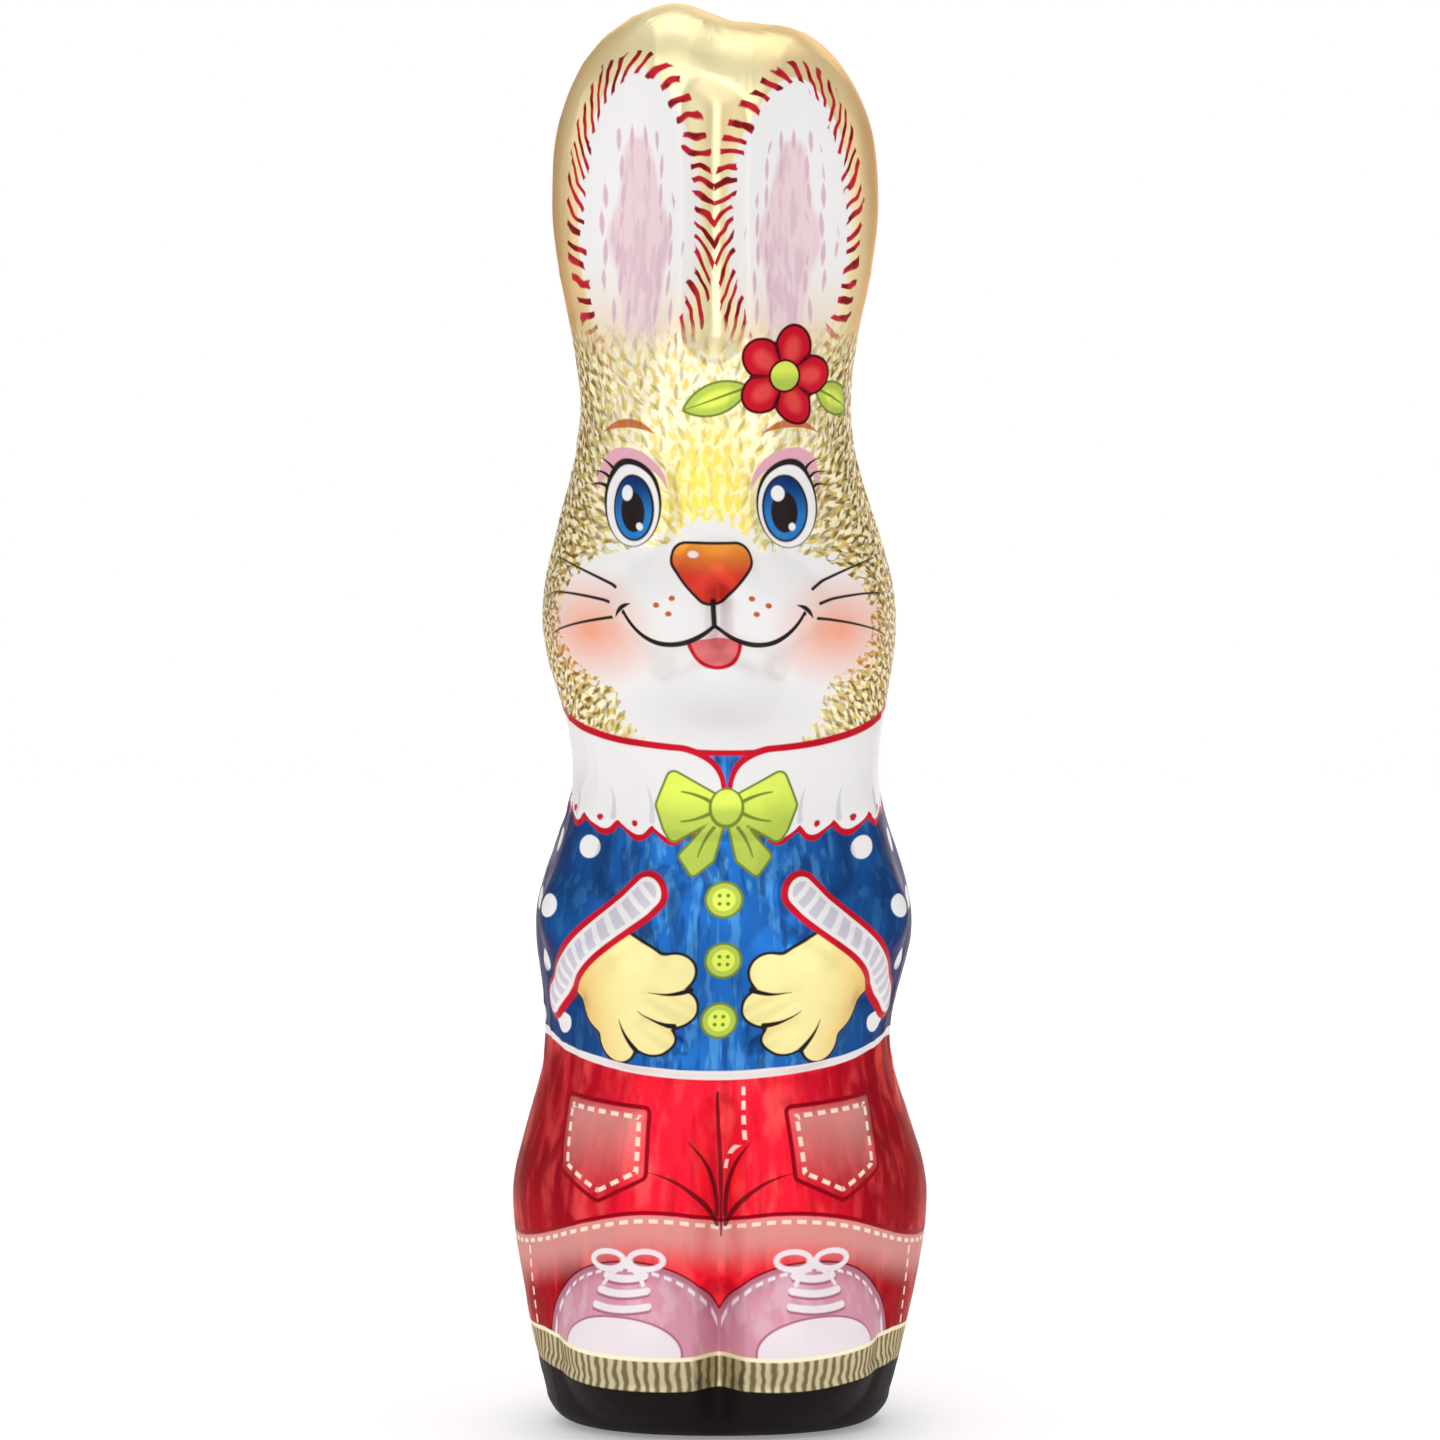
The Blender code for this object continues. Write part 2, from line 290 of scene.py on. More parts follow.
def dome_rise(dome, across, height):
    """How far a dome lifts the foil at each place."""
    aside = (across - dome.across) / dome.half_width
    above = (height - dome.height) / dome.half_height
    return dome.rise * np.clip(1.0 - aside**2 - above**2, 0.0, 1.0) ** DOME_POWER


def roll_rise(roll, across, height):
    """How far a roll lifts the foil, or how deep a groove cuts into it, at each place."""
    away = limb(Flat(across, height), (*roll.start, 0.0), (*roll.end, 0.0))
    return roll.rise * np.clip(1.0 - (away / roll.radius) ** 2, 0.0, 1.0) ** ROLL_POWER


def edge_height(edge, across, front):
    """Where a garment's edge runs: it climbs from the middle of the front to the sides."""
    return edge.height + edge.climb * np.where(
        front, np.clip(across / EDGE_REACH, 0.0, 1.0) ** 2, 1.0
    )


def relief(across, beyond_seam, height):
    """The whole moulded relief at each place on the foil."""
    front = beyond_seam >= 0.0
    front_rise = sum(dome_rise(dome, across, height) for dome in FRONT_DOMES)
    front_rise += sum(roll_rise(roll, across, height) for roll in FRONT_ROLLS)
    back_rise = sum(dome_rise(dome, across, height) for dome in BACK_DOMES)
    back_rise += sum(roll_rise(roll, across, height) for roll in BACK_ROLLS)
    rise = np.where(front, front_rise, back_rise) + roll_rise(EAR_CLEFT, across, height)
    for edge in (COLLAR_TOP, COLLAR_HEM, SHIRT_HEM, SOLE_LINE):
        above = (height - edge_height(edge, across, front)) / edge.softness
        rise += edge.rise * smooth(above + 0.5)
    return rise * smooth(np.abs(beyond_seam) / SIDE_FADE)


def crown_drop(x, height):
    """How far the crown lies under an even dome: the shorter ear and the saddle."""
    top = smooth((height - EARS_WIDEST) / (HEIGHT - EARS_WIDEST))
    shorter = EAR_DROP * smooth((x - DROP_FROM) / (DROP_TO - DROP_FROM))
    saddle = SADDLE_DEPTH * np.exp(-(((x - SADDLE_AT) / SADDLE_WIDTH) ** 2))
    return top * (shorter + saddle)


def row_profile():
    """Height, inset and scale of every row, from the middle of the sole to the crown."""
    flat = np.linspace(SOLE_START, 1.0, SOLE_ROWS, endpoint=False)
    bend = np.linspace(0.0, math.pi / 2.0, BEND_ROWS, endpoint=False)
    body = np.linspace(SOLE_EDGE, EARS_WIDEST, BODY_ROWS, endpoint=False)
    crown = np.sin(np.linspace(0.0, math.pi / 2.0 * CROWN_END, CROWN_ROWS))
    crown = EARS_WIDEST + (HEIGHT - EARS_WIDEST) * crown
    above = np.zeros(BODY_ROWS + CROWN_ROWS)
    height = np.concatenate([0.0 * flat, SOLE_EDGE * (1.0 - np.cos(bend)), body, crown])
    inset = np.concatenate([0.0 * flat + SOLE_EDGE, SOLE_EDGE * (1.0 - np.sin(bend)), above])
    scale = np.concatenate([flat, np.ones(BEND_ROWS), above + 1.0])
    return height, inset, scale


Skin = namedtuple("Skin", "points across beyond_seam height gather scale")


def figure_skin(turn):
    """The figure's moulded skin on a grid of rows by columns, before it is crinkled."""
    height, inset, scale = row_profile()
    sizes = plain_sizes(height)
    across, beyond_seam = foil_places(sizes, turn)
    at_crown = np.minimum(sizes[0] / LEVELS[-1].half_width, 1.0)[:, None]
    height = height[:, None]
    lift = relief(across, beyond_seam, height) * smooth(height / SOLE_EDGE) * at_crown
    radius = (section_radius(sizes, turn, inset[:, None]) + lift) * scale[:, None]
    x = radius * np.sin(turn)
    z = height - crown_drop(x, height)
    points = np.stack([x + sizes[3][:, None], -radius * np.cos(turn), z], axis=-1)
    return Skin(points, across, beyond_seam, height + 0.0 * x, gather(height) + 0.0 * x, scale)


def gather(height):
    """How much foil is to spare at each height: 1 at the narrow levels, 0 at the wide ones."""
    return np.interp(height, [level.height for level in LEVELS] + [HEIGHT], SPARE_FOIL)


def outward_normals(points):
    """Unit normals of a grid of points, facing away from the axis."""
    normals = np.cross(np.gradient(points, axis=1), np.gradient(points, axis=0))
    return normals / np.maximum(np.linalg.norm(normals, axis=-1, keepdims=True), 1e-9)


def crinkle(skin):
    """How far the foil stands off the moulded skin at each place."""
    points = skin.points
    bent = points + BEND * noise(points / BEND_CELL, 5)[..., None]
    rise = DENT_HEIGHT * noise(points / DENT_CELL, 1)
    rise += 0.5 * DENT_HEIGHT * noise(points / SMALL_DENT_CELL, 2)
    folds = creases(bent / CREASE_CELL, 3, CREASE_SHARPNESS)
    rise += CREASE_HEIGHT * folds * (ALL_OVER + skin.gather)
    pleats = creases(bent / np.array(PLEAT_CELL), 4, PLEAT_SHARPNESS)
    return rise + PLEAT_HEIGHT * pleats * skin.gather * side_share(skin)


def side_share(skin):
    """Pleats are pressed flatter on the front than at the sides and the back."""
    return 1.0 - FRONT_PRESSED * smooth(skin.beyond_seam / PRESSED_REACH)


def sole_pleats(skin, turn):
    """The foil is folded flat under the sole, in pleats towards the middle."""
    phase = turn * SOLE_PLEATS + SOLE_PLEAT_WANDER * noise(skin.points / SOLE_PLEAT_CELL, 8)
    rim, reach = SOLE_RIM
    inner = smooth((rim - skin.scale) / reach) * smooth(skin.scale / SOLE_MIDDLE)
    return SOLE_PLEAT_HEIGHT * inner[:, None] * (0.5 + 0.5 * np.cos(phase)) ** 3


def sheet_points(skin, turn, lapped):
    """The crinkled sheet, in millimetres."""
    rise = crinkle(skin)
    on_body = smooth(skin.height / SOLE_EDGE)
    rise *= on_body
    if lapped:
        rise += LAP_LIFT * (1.0 - smooth(skin.beyond_seam / LAP_REACH)) * on_body
    points = skin.points + outward_normals(skin.points) * rise[..., None]
    points[..., 2] += sole_pleats(skin, turn)
    return points


def centre_of(points):
    """The middle of the figure's box, at the sole."""
    low, high = points.reshape(-1, 3).min(axis=0), points.reshape(-1, 3).max(axis=0)
    return np.array([(low[0] + high[0]) / 2.0, (low[1] + high[1]) / 2.0, 0.0])


# Flat shapes of the print: signed distances in millimetres, below 0 inside


def disc(flat, centre, radius):
    return np.hypot(flat.s - centre[0], flat.z - centre[1]) - radius


def oval(flat, centre, half_s, half_z):
    s, z = (flat.s - centre[0]) / half_s, (flat.z - centre[1]) / half_z
    size, slope = np.hypot(s, z), np.hypot(s / half_s, z / half_z)
    return size * (size - 1.0) / np.maximum(slope, 1e-6)


def turned(flat, centre, angle):
    """The same places as seen from a centre, with the paper turned."""
    s, z = flat.s - centre[0], flat.z - centre[1]
    cosine, sine = math.cos(angle), math.sin(angle)
    return Flat(s * cosine - z * sine, s * sine + z * cosine)


def leaf(flat, start, end, half_width):
    """A pointed leaf between two points."""
    middle, run = np.add(start, end) / 2.0, np.subtract(end, start)
    length = math.hypot(*run)
    radius = (length**2 / 4.0 + half_width**2) / (2.0 * half_width)
    aside = np.array([-run[1], run[0]]) / length * (radius - half_width)
    return np.maximum(disc(flat, middle + aside, radius), disc(flat, middle - aside, radius))


def melted(distances, blend=1.0):
    """The union of shapes, with the corners between them filled out."""
    total = distances[0]
    for distance in distances[1:]:
        share = np.clip(0.5 + 0.5 * (distance - total) / blend, 0.0, 1.0)
        total = distance + (total - distance) * share - blend * share * (1.0 - share)
    return total


def chain(flat, points, blend=1.0):
    """Rounded bars through a row of (s, z, radius) points, melted together."""
    return melted([limb(flat, a, b) for a, b in zip(points, points[1:])], blend)


def patch(flat, corners, rounding=0.0):
    """A polygon with rounded corners, and the length round it to the nearest place."""
    away, along, start = np.full(flat.s.shape, 1e9), np.zeros(flat.s.shape), 0.0
    inside = np.zeros(flat.s.shape, dtype=bool)
    for corner, following in zip(corners, corners[1:] + corners[:1]):
        side = limb(flat, (*corner, 0.0), (*following, 0.0))
        run = np.subtract(following, corner)
        length = math.hypot(*run)
        share = ((flat.s - corner[0]) * run[0] + (flat.z - corner[1]) * run[1]) / length
        along = np.where(side < away, start + np.clip(share, 0.0, length), along)
        away = np.minimum(away, side)
        crosses = (corner[1] > flat.z) != (following[1] > flat.z)
        slope = run[0] / (run[1] or 1e-9)
        inside ^= crosses & (flat.s < corner[0] + (flat.z - corner[1]) * slope)
        start += length
    return np.where(inside, -away, away) - rounding, along


def along_oval(flat, centre, half_s, half_z):
    """Length along an oval's rim from its lowest point to the place beside each point."""
    angles = np.linspace(-math.pi, math.pi, RIM_SAMPLES)
    steps = np.hypot(half_s * np.cos(angles), half_z * np.sin(angles)) * (angles[1] - angles[0])
    around = np.arctan2((flat.s - centre[0]) / half_s, (flat.z - centre[1]) / half_z)
    return np.interp(around, angles, np.cumsum(steps))


def dotted(flat, pitch_s, pitch_z, radius):
    """A grid of round dots, with every second row set over by half a step."""
    row = np.round(flat.z / pitch_z)
    shift = 0.5 * (row % 2.0)
    centre = (np.round(flat.s / pitch_s - shift) + shift) * pitch_s
    away = np.hypot(flat.s - centre, flat.z - row * pitch_z) - radius
    return np.maximum(away, np.abs(centre) - DOTS_REACH)


# The print's layout, in millimetres across from the middle line and up from the sole

EAR_LEAF = ((8.2, 127.0), 6.7, 16.2)
EAR_PINK = ((7.6, 114.5, 1.6), (8.3, 125.5, 3.1), (8.7, 134.5, 1.5))
TICK_PITCH = 1.7
FLOWER_CENTRE = (7.8, 111.4)
FLOWER_PETALS = 5
FLOWER_TURN = 0.3
PETAL = ((0.0, 2.9), 1.85, 2.2)
FLOWER_LEAVES = (((3.8, 110.2), (-2.6, 107.8), 1.5), ((11.6, 110.0), (17.2, 107.6), 1.5))
MUZZLE = (((6.8, 86.0), 9.8, 7.4), ((0.0, 78.8), 10.8, 8.2), ((0.0, 92.0), 4.6, 4.4))
EYE = (8.4, 98.0)
NOSE = [(-2.5, 92.6), (2.5, 92.6), (0.0, 89.4)]
NOSE_SHINE = ((-1.7, 93.0), 0.6, 0.35)
CHEEK = (12.6, 85.0)
CHIN = (0.0, 76.5)
BRIDGE = (0.0, 98.0)
TONGUE = (0.0, 83.6)
WHISKER_DOTS = ((3.6, 88.6), (5.0, 87.9), (3.9, 87.0))
COLLAR_OPENING = 4.7
COLLAR_DOT_PITCH = 3.7
COLLAR_DOT = 0.36
COLLAR_DOT_LIFT = 1.5
COLLAR_LIFT = 0.5
NECK_DROP = 0.4
SCALLOP = 1.3
BOW_LOOP = [(0.2, 66.5), (5.2, 69.4), (6.3, 66.6), (5.3, 63.6)]
BOW_TAIL = [(0.3, 66.0), (1.5, 61.2), (3.2, 59.8), (4.4, 61.4)]
BUTTONS = (57.0, 50.6, 44.2)
SLEEVE = ((17.0, 64.5, 4.6), (20.8, 54.5, 5.6), (13.5, 51.4, 5.6))
CUFF = ((7.8, 57.6, 1.9), (19.4, 45.8, 1.9))
PALM = ((9.5, 47.4), 5.4, 5.2)
WRIST = ((13.6, 51.6, 4.4), (9.8, 48.4, 4.6))
TOES = ((4.7, 49.4), (4.3, 45.7), (6.5, 42.6), (10.2, 41.7))
TOE_RADIUS = 1.95
POCKET = [(12.6, 26.0), (8.2, 28.2), (7.8, 34.4), (17.2, 35.2), (17.0, 28.6)]
BACK_POCKET = [(9.2, 22.8), (5.0, 24.8), (4.6, 31.2), (13.6, 31.8), (13.4, 25.2)]
TURN_UP = (24.2, 3.8, 7.5, 19.5)
BACK_TURN_UP = (22.8, 2.4, 8.0, 19.0)
TURN_UP_DIP = 0.018
SHOE = ((9.8, 9.2), 10.8, 9.6)
TOE_CAP = ((9.9, 9.4), 6.2, 3.8)
TAIL = ((0.0, 37.2), 6.8, 6.4)
DOTS = (7.2, 6.2, 1.2)
DOTS_REACH = 26.0
DOTS_START = 9.0
SIDE_SEAM = 24.0
LACE_KNOT = (9.6, 18.8)
LACE_LOOPS = ((7.6, 19.1), (11.6, 19.1))
BAND_LOW = 5.3
BAND_CLIMB = 1.6
BAND_HEIGHT = 3.5
RIB_PITCH = 0.92

# Brush strokes: start, end, bend, half width, taper and swell
MOUTH = (
    ((0.0, 88.2), (0.0, 85.6), 0.0, 0.26),
    ((0.0, 85.6), (8.4, 87.0), -2.6, 0.32, 0.2),
    ((7.7, 87.9), (9.4, 86.5), 0.3, 0.24, 0.0, 0.8),
)
WHISKERS = (
    ((9.8, 89.4), (19.6, 92.0), 0.5, 0.17, 0.6),
    ((10.4, 87.9), (20.4, 88.2), 0.5, 0.17, 0.6),
    ((10.0, 86.4), (19.4, 83.9), 0.3, 0.17, 0.6),
)
LASHES = (
    ((11.0, 100.6), (13.0, 101.2), 0.3, 0.24, 0.9),
    ((11.3, 99.6), (13.4, 99.7), 0.3, 0.24, 0.9),
    ((10.4, 101.5), (12.1, 102.7), 0.3, 0.24, 0.9),
)
BROW = ((5.4, 105.4), (11.6, 105.2), 1.1, 0.5, 0.2, 0.9)
COLLAR_FOLDS = [((s, 64.6 + 0.05 * s), (s + 0.5, 68.4), 0.2, 0.3, 0.9) for s in (7.4, 11.6, 16.2)]
BOW_FOLDS = (
    ((1.2, 66.8), (4.4, 68.0), 0.2, 0.22, 0.6),
    ((1.2, 66.1), (4.4, 65.0), -0.2, 0.22, 0.6),
    ((1.2, 64.4), (2.8, 61.4), 0.2, 0.2, 0.6),
)
TOE_LINES = (
    ((3.0, 47.6), (6.6, 47.4), -0.3, 0.3, 0.9),
    ((4.4, 43.8), (7.4, 45.4), -0.3, 0.3, 0.9),
    ((8.2, 41.2), (9.3, 44.4), -0.2, 0.3, 0.9),
)
TROUSER_CREASES = (
    ((0.0, 36.6), (0.0, 21.5), 0.0, 0.3, 0.2, 0.5),
    ((0.5, 23.8), (3.4, 31.6), 0.9, 0.36, 0.7, 0.2),
    ((0.5, 22.8), (7.4, 28.4), 1.1, 0.34, 0.7, 0.2),
)
FLY = (((2.8, 37.0), (2.8, 31.6)), ((2.8, 31.6), (0.6, 28.8), -0.5))
LACE_BARS = ((6.9, 12.0, 14.4), (7.2, 11.8, 16.0), (7.6, 11.5, 17.5))
LACE_ENDS = (
    ((9.6, 18.6), (7.6, 16.6), -0.3, 0.3, 0.3),
    ((9.6, 18.6), (11.6, 16.6), 0.3, 0.3, 0.3),
)


def turn_up(half, height, drop, start, width):
    """Height over the trouser legs' lower edge, which dips at the middle and the seams."""
    dip = TURN_UP_DIP * np.maximum(start - half.s, 0.0) ** 2
    return half.z - height + dip + drop * smooth((half.s - start) / width)


def shared_shapes(flat, half, front):
    """Shapes that the front and the back sheet both carry."""
    top, hem = (edge_height(edge, half.s, front) for edge in (COLLAR_TOP, COLLAR_HEM))
    hem = hem + COLLAR_LIFT - SCALLOP * np.abs(np.sin(math.pi * half.s / COLLAR_DOT_PITCH))
    middle, reach = (top + hem) / 2.0, (top - hem) / 2.0
    aside = np.maximum(COLLAR_OPENING - half.s, 0.0) if front else 0.0
    dots = ((half.s / COLLAR_DOT_PITCH) % 1.0 - 0.5) * COLLAR_DOT_PITCH
    return {
        "hem": flat.z - edge_height(SHIRT_HEM, half.s, front),
        "sole": flat.z - edge_height(Edge(BAND_LOW, BAND_CLIMB, 0.0, 1.0), half.s, front),
        "dots": np.maximum(dotted(flat, *DOTS), flat.z - middle),
        "shoe": oval(half, *SHOE),
        "ear_leaf": oval(half, *EAR_LEAF),
        "ear_along": along_oval(half, *EAR_LEAF),
        "neck": flat.z - top + NECK_DROP,
        "collar": np.hypot(aside, flat.z - middle) - reach,
        "collar_dots": np.hypot(dots, flat.z - hem - COLLAR_DOT_LIFT) - COLLAR_DOT,
    }


def paw_shapes(half):
    """The paw, cut off by the cuff, and the cuff with the length along it."""
    paw = [oval(half, *PALM), limb(half, *WRIST)] + [disc(half, toe, TOE_RADIUS) for toe in TOES]
    start, run = CUFF[0], np.subtract(CUFF[1][:2], CUFF[0][:2])
    run /= np.hypot(*run)
    along = (half.s - start[0]) * run[0] + (half.z - start[1]) * run[1]
    beyond = (half.s - start[0]) * run[1] - (half.z - start[1]) * run[0]
    paw = np.maximum(melted(paw, 0.6), -beyond)
    return {"paw": paw, "cuff": limb(half, *CUFF), "cuff_along": along}


def flower_shapes(flat):
    """The flower, the gaps between its petals, and its leaves."""
    turns = [math.tau * k / FLOWER_PETALS + FLOWER_TURN for k in range(FLOWER_PETALS)]
    petals = [turned(flat, FLOWER_CENTRE, turn) for turn in turns]
    return {
        "flower": np.min([oval(petal, *PETAL) for petal in petals], axis=0),
        "petal_gap": np.cos(FLOWER_PETALS * np.arctan2(petals[0].s, petals[0].z)),
        "leaves": np.minimum(*(leaf(flat, *each) for each in FLOWER_LEAVES)),
    }


def front_shapes(flat):
    """Every shape of the front print, as named distances."""
    half = Flat(np.abs(flat.s), flat.z)
    shapes = {**shared_shapes(flat, half, True), **paw_shapes(half), **flower_shapes(flat)}
    shapes["dots"] = np.maximum(shapes["dots"], DOTS_START - half.s)
    shapes["ear_pink"] = chain(half, EAR_PINK, 2.0)
    shapes["muzzle"] = melted([oval(half, *part) for part in MUZZLE], 2.0)
    shapes["nose"] = patch(half, NOSE, 1.4)[0]
    shapes["bow"] = np.minimum(patch(half, BOW_LOOP, 0.6)[0], patch(half, BOW_TAIL, 0.3)[0])
    shapes["sleeve"] = chain(half, SLEEVE, 2.0)
    shapes["pocket"], shapes["pocket_along"] = patch(half, POCKET, 0.6)
    shapes["turn_up"] = turn_up(half, *TURN_UP)
    shapes["toe_cap"] = oval(half, *TOE_CAP)
    return shapes


def back_shapes(flat):
    """Every shape of the back print, as named distances."""
    half = Flat(np.abs(flat.s), flat.z)
    shapes = shared_shapes(flat, half, False)
    shapes["tail"] = oval(half, *TAIL)
    shapes["pocket"], shapes["pocket_along"] = patch(half, BACK_POCKET, 0.6)
    shapes["turn_up"] = turn_up(half, *BACK_TURN_UP)
    return shapes


# Inks: 8-bit screen colours, and how metallic each one looks

Ink = namedtuple("Ink", "red green blue metallic")
GOLD = Ink(251, 240, 190, 1.0)
WARM_GOLD = Ink(244, 216, 160, 1.0)
# Painted shade: the bare gold's darker, browner sides
SIDE_SHADE_GOLD = Ink(232, 190, 138, 1.0)
FUR_PALE = Ink(246, 238, 204, 0.6)
FUR_MID = Ink(224, 198, 104, 0.6)
FUR_CREAM = Ink(254, 246, 208, 0.3)
FUR_DEEP = Ink(188, 152, 80, 0.7)
FUR_LEMON = Ink(234, 214, 84, 0.5)
FUR_BROWN = Ink(116, 88, 22, 0.5)
WHITE = Ink(236, 234, 233, 0.06)
SHADE_LILAC = Ink(206, 202, 214, 0.1)
EAR_PINK_INK = Ink(230, 206, 210, 0.06)
EAR_ROSE = Ink(214, 182, 194, 0.1)
PEACH = Ink(240, 188, 84, 0.3)
TICK_RED = Ink(192, 34, 50, 0.3)
TICK_BROWN = Ink(126, 22, 28, 0.3)
LINE_DARK = Ink(34, 28, 30, 0.0)
IRIS_BLUE = Ink(40, 122, 190, 0.2)
IRIS_DEEP = Ink(16, 52, 112, 0.2)
LID_ROSE = Ink(222, 166, 182, 0.1)
BROW_BROWN = Ink(190, 92, 40, 0.2)
NOSE_RED = Ink(214, 58, 46, 0.3)
NOSE_ORANGE = Ink(242, 168, 62, 0.3)
BLUSH = Ink(240, 150, 112, 0.1)
LIP_PINK = Ink(226, 122, 122, 0.1)
PIPING_RED = Ink(200, 20, 42, 0.3)
PETAL_LIGHT = Ink(226, 74, 70, 0.4)
PETAL_DARK = Ink(70, 8, 22, 0.2)
LIME = Ink(180, 200, 84, 0.3)
LIME_LIGHT = Ink(222, 238, 96, 0.3)
LIME_DARK = Ink(112, 132, 48, 0.3)
SHIRT_BLUE = Ink(36, 106, 186, 0.8)
# Painted sheen and painted shade on the blue jumper
SHIRT_SHEEN = Ink(84, 156, 216, 0.8)
SHIRT_SHADE = Ink(20, 54, 104, 0.5)
PAW_CREAM = Ink(248, 236, 166, 0.2)
PAW_SHADE = Ink(238, 190, 96, 0.3)
TROUSER_RED = Ink(253, 30, 54, 0.6)
# Painted sheen, and painted shade that also draws outlines, on the red trousers
TROUSER_SHEEN = Ink(255, 86, 84, 0.7)
TROUSER_SHADE_AND_OUTLINE = Ink(146, 0, 24, 0.25)
CREASE_DARK = Ink(76, 14, 20, 0.4)
TURN_PINK = Ink(222, 156, 150, 0.3)
STITCH_CREAM = Ink(250, 226, 206, 0.1)
SHOE_PINK = Ink(214, 150, 168, 0.2)
SHOE_ROSE = Ink(176, 106, 128, 0.2)
LACE_WHITE = Ink(238, 228, 232, 0.1)
RIB_LIGHT = Ink(208, 198, 160, 0.7)
RIB_DARK = Ink(122, 110, 78, 0.6)
SOLE_BLACK = Ink(26, 22, 22, 0.0)


def linear(value):
    """A screen value from 0 to 255 as linear light."""
    value /= 255.0
    return value / 12.92 if value <= 0.04045 else ((value + 0.055) / 1.055) ** 2.4


def colour_of(ink):
    return (linear(ink.red), linear(ink.green), linear(ink.blue), 1.0)


# Node helpers

UPRIGHT = math.pi / 2.0
EDGE_TINT = (0.6, 0.44, 0.36, 1.0)
SHORT_GRAIN = (1.0, 1.0, 0.5)
UPRIGHT_GRAIN = (1.0, 1.0, 0.16)
FAR = 1e4
NOWHERE = (0.0, 0.0, 0.0)
CELL_MIX = (12.99, 78.23, 0.0)
CELL_SCATTER = 4375.85
SECOND_SCATTER = 37.7
CELL_SHIFT = 0.18
CELL_LENGTHS = 2.1
SEED_TURN = 0.9
SEED_SHIFT = (7.3, 3.1)
DASH_SHARE = 0.3
TICK_SHARE = 0.2
TICK_CELL = 3.0
TICK_WANDER = 1.3
ROUGHNESS = 0.28
ROUGHNESS_SPREAD = 0.16
DULLER = 0.25
SPECULAR = 0.14
ROUGHNESS_GRAIN = (2.2, 2.0)
BUMP_GRAIN = (0.9, 2.0, (1.0, 1.0, 0.35))
BUMP_STRENGTH = 0.4
BUMP_DEPTH = 0.05


class Nodes:
    """Adds nodes to a tree, and gives what comes out of them.

    With many nodes the front sheet once rendered black. It renders when no vector is split
    or passed on as a colour and each clamp is a node of its own, so both hold throughout.
    """

    def __init__(self, tree):
        self.tree = tree

    def feed(self, socket, value):
        """Links a value that a node gives, or sets a plain one."""
        if isinstance(value, bpy.types.NodeSocket):
            self.tree.links.new(value, socket)
        else:
            socket.default_value = value

    def node(self, kind, *values, output=0, sockets=None, **settings):
        """A new node, with values for its first sockets or for the ones that are given."""
        node = self.tree.nodes.new(kind)
        for name, value in settings.items():
            setattr(node, name, value)
        for socket, value in zip(sockets or range(len(values)), values):
            self.feed(node.inputs[socket], value)
        return node.outputs[output]

    def maths(self, operation, *values):
        return self.node("ShaderNodeMath", *values, operation=operation)

    def fit(self, value, scale, shift):
        return self.maths("MULTIPLY_ADD", value, scale, shift)

    def minus(self, value, other):
        return self.maths("SUBTRACT", value, other)

    def absolute(self, value):
        return self.maths("ABSOLUTE", value)

    def clamp(self, value):
        return self.node("ShaderNodeClamp", value)

    def vector(self, operation, *values):
        output = "Value" if operation in ("LENGTH", "DOT_PRODUCT") else "Vector"
        return self.node("ShaderNodeVectorMath", *values, operation=operation, output=output)

    def both(self, *masks):
        total = masks[0]
        for mask in masks[1:]:
            total = self.maths("MULTIPLY", total, mask)
        return total


class MaskGroup(Nodes):
    """A node group that gives a mask."""

    def __init__(self, name, vectors, numbers):
        super().__init__(bpy.data.node_groups.new(name, "ShaderNodeTree"))
        kinds = ["NodeSocketVector"] * len(vectors) + ["NodeSocketFloat"] * len(numbers)
        for socket, kind in zip(vectors + numbers, kinds):
            self.tree.interface.new_socket(socket, in_out="INPUT", socket_type=kind)
        self.tree.interface.new_socket("Mask", in_out="OUTPUT", socket_type="NodeSocketFloat")
        self.given = self.tree.nodes.new("NodeGroupInput").outputs[: len(kinds)]

    def end(self, inside, sharpness):
        """Wires a depth inside the shape to the mask, and gives the finished group."""
        result = self.tree.nodes.new("NodeGroupOutput").inputs["Mask"]
        self.feed(result, self.clamp(self.fit(inside, sharpness, 0.5)))
        return self.tree


def stroke_group():
    """A node group: the mask of one bent brush stroke that thins towards its ends."""
    vectors = ("Place", "Start", "Along", "Across")
    group = MaskGroup("stroke", vectors, ("Length", "Bend", "Half Width", "Taper", "Swell"))
    place, start, along, across, length, bend, half_width, taper, swell = group.given
    off = group.vector("SUBTRACT", place, start)
    u = group.vector("DOT_PRODUCT", off, along)
    v = group.vector("DOT_PRODUCT", off, across)
    share = group.maths("DIVIDE", u, length)
    held = group.clamp(share)
    ends = group.fit(held, 2.0, -1.0)
    ends = group.both(ends, ends)
    aside = group.minus(v, group.both(group.minus(1.0, ends), bend))
    past = group.both(group.minus(share, held), length)
    reach = group.fit(past, past, group.both(aside, aside))
    thin = group.minus(1.0, group.both(held, taper))
    thin = group.minus(thin, group.both(ends, swell))
    inside = group.minus(group.both(thin, half_width), group.maths("SQRT", reach))
    return group.end(inside, 0.5 / SOFT_EDGE)


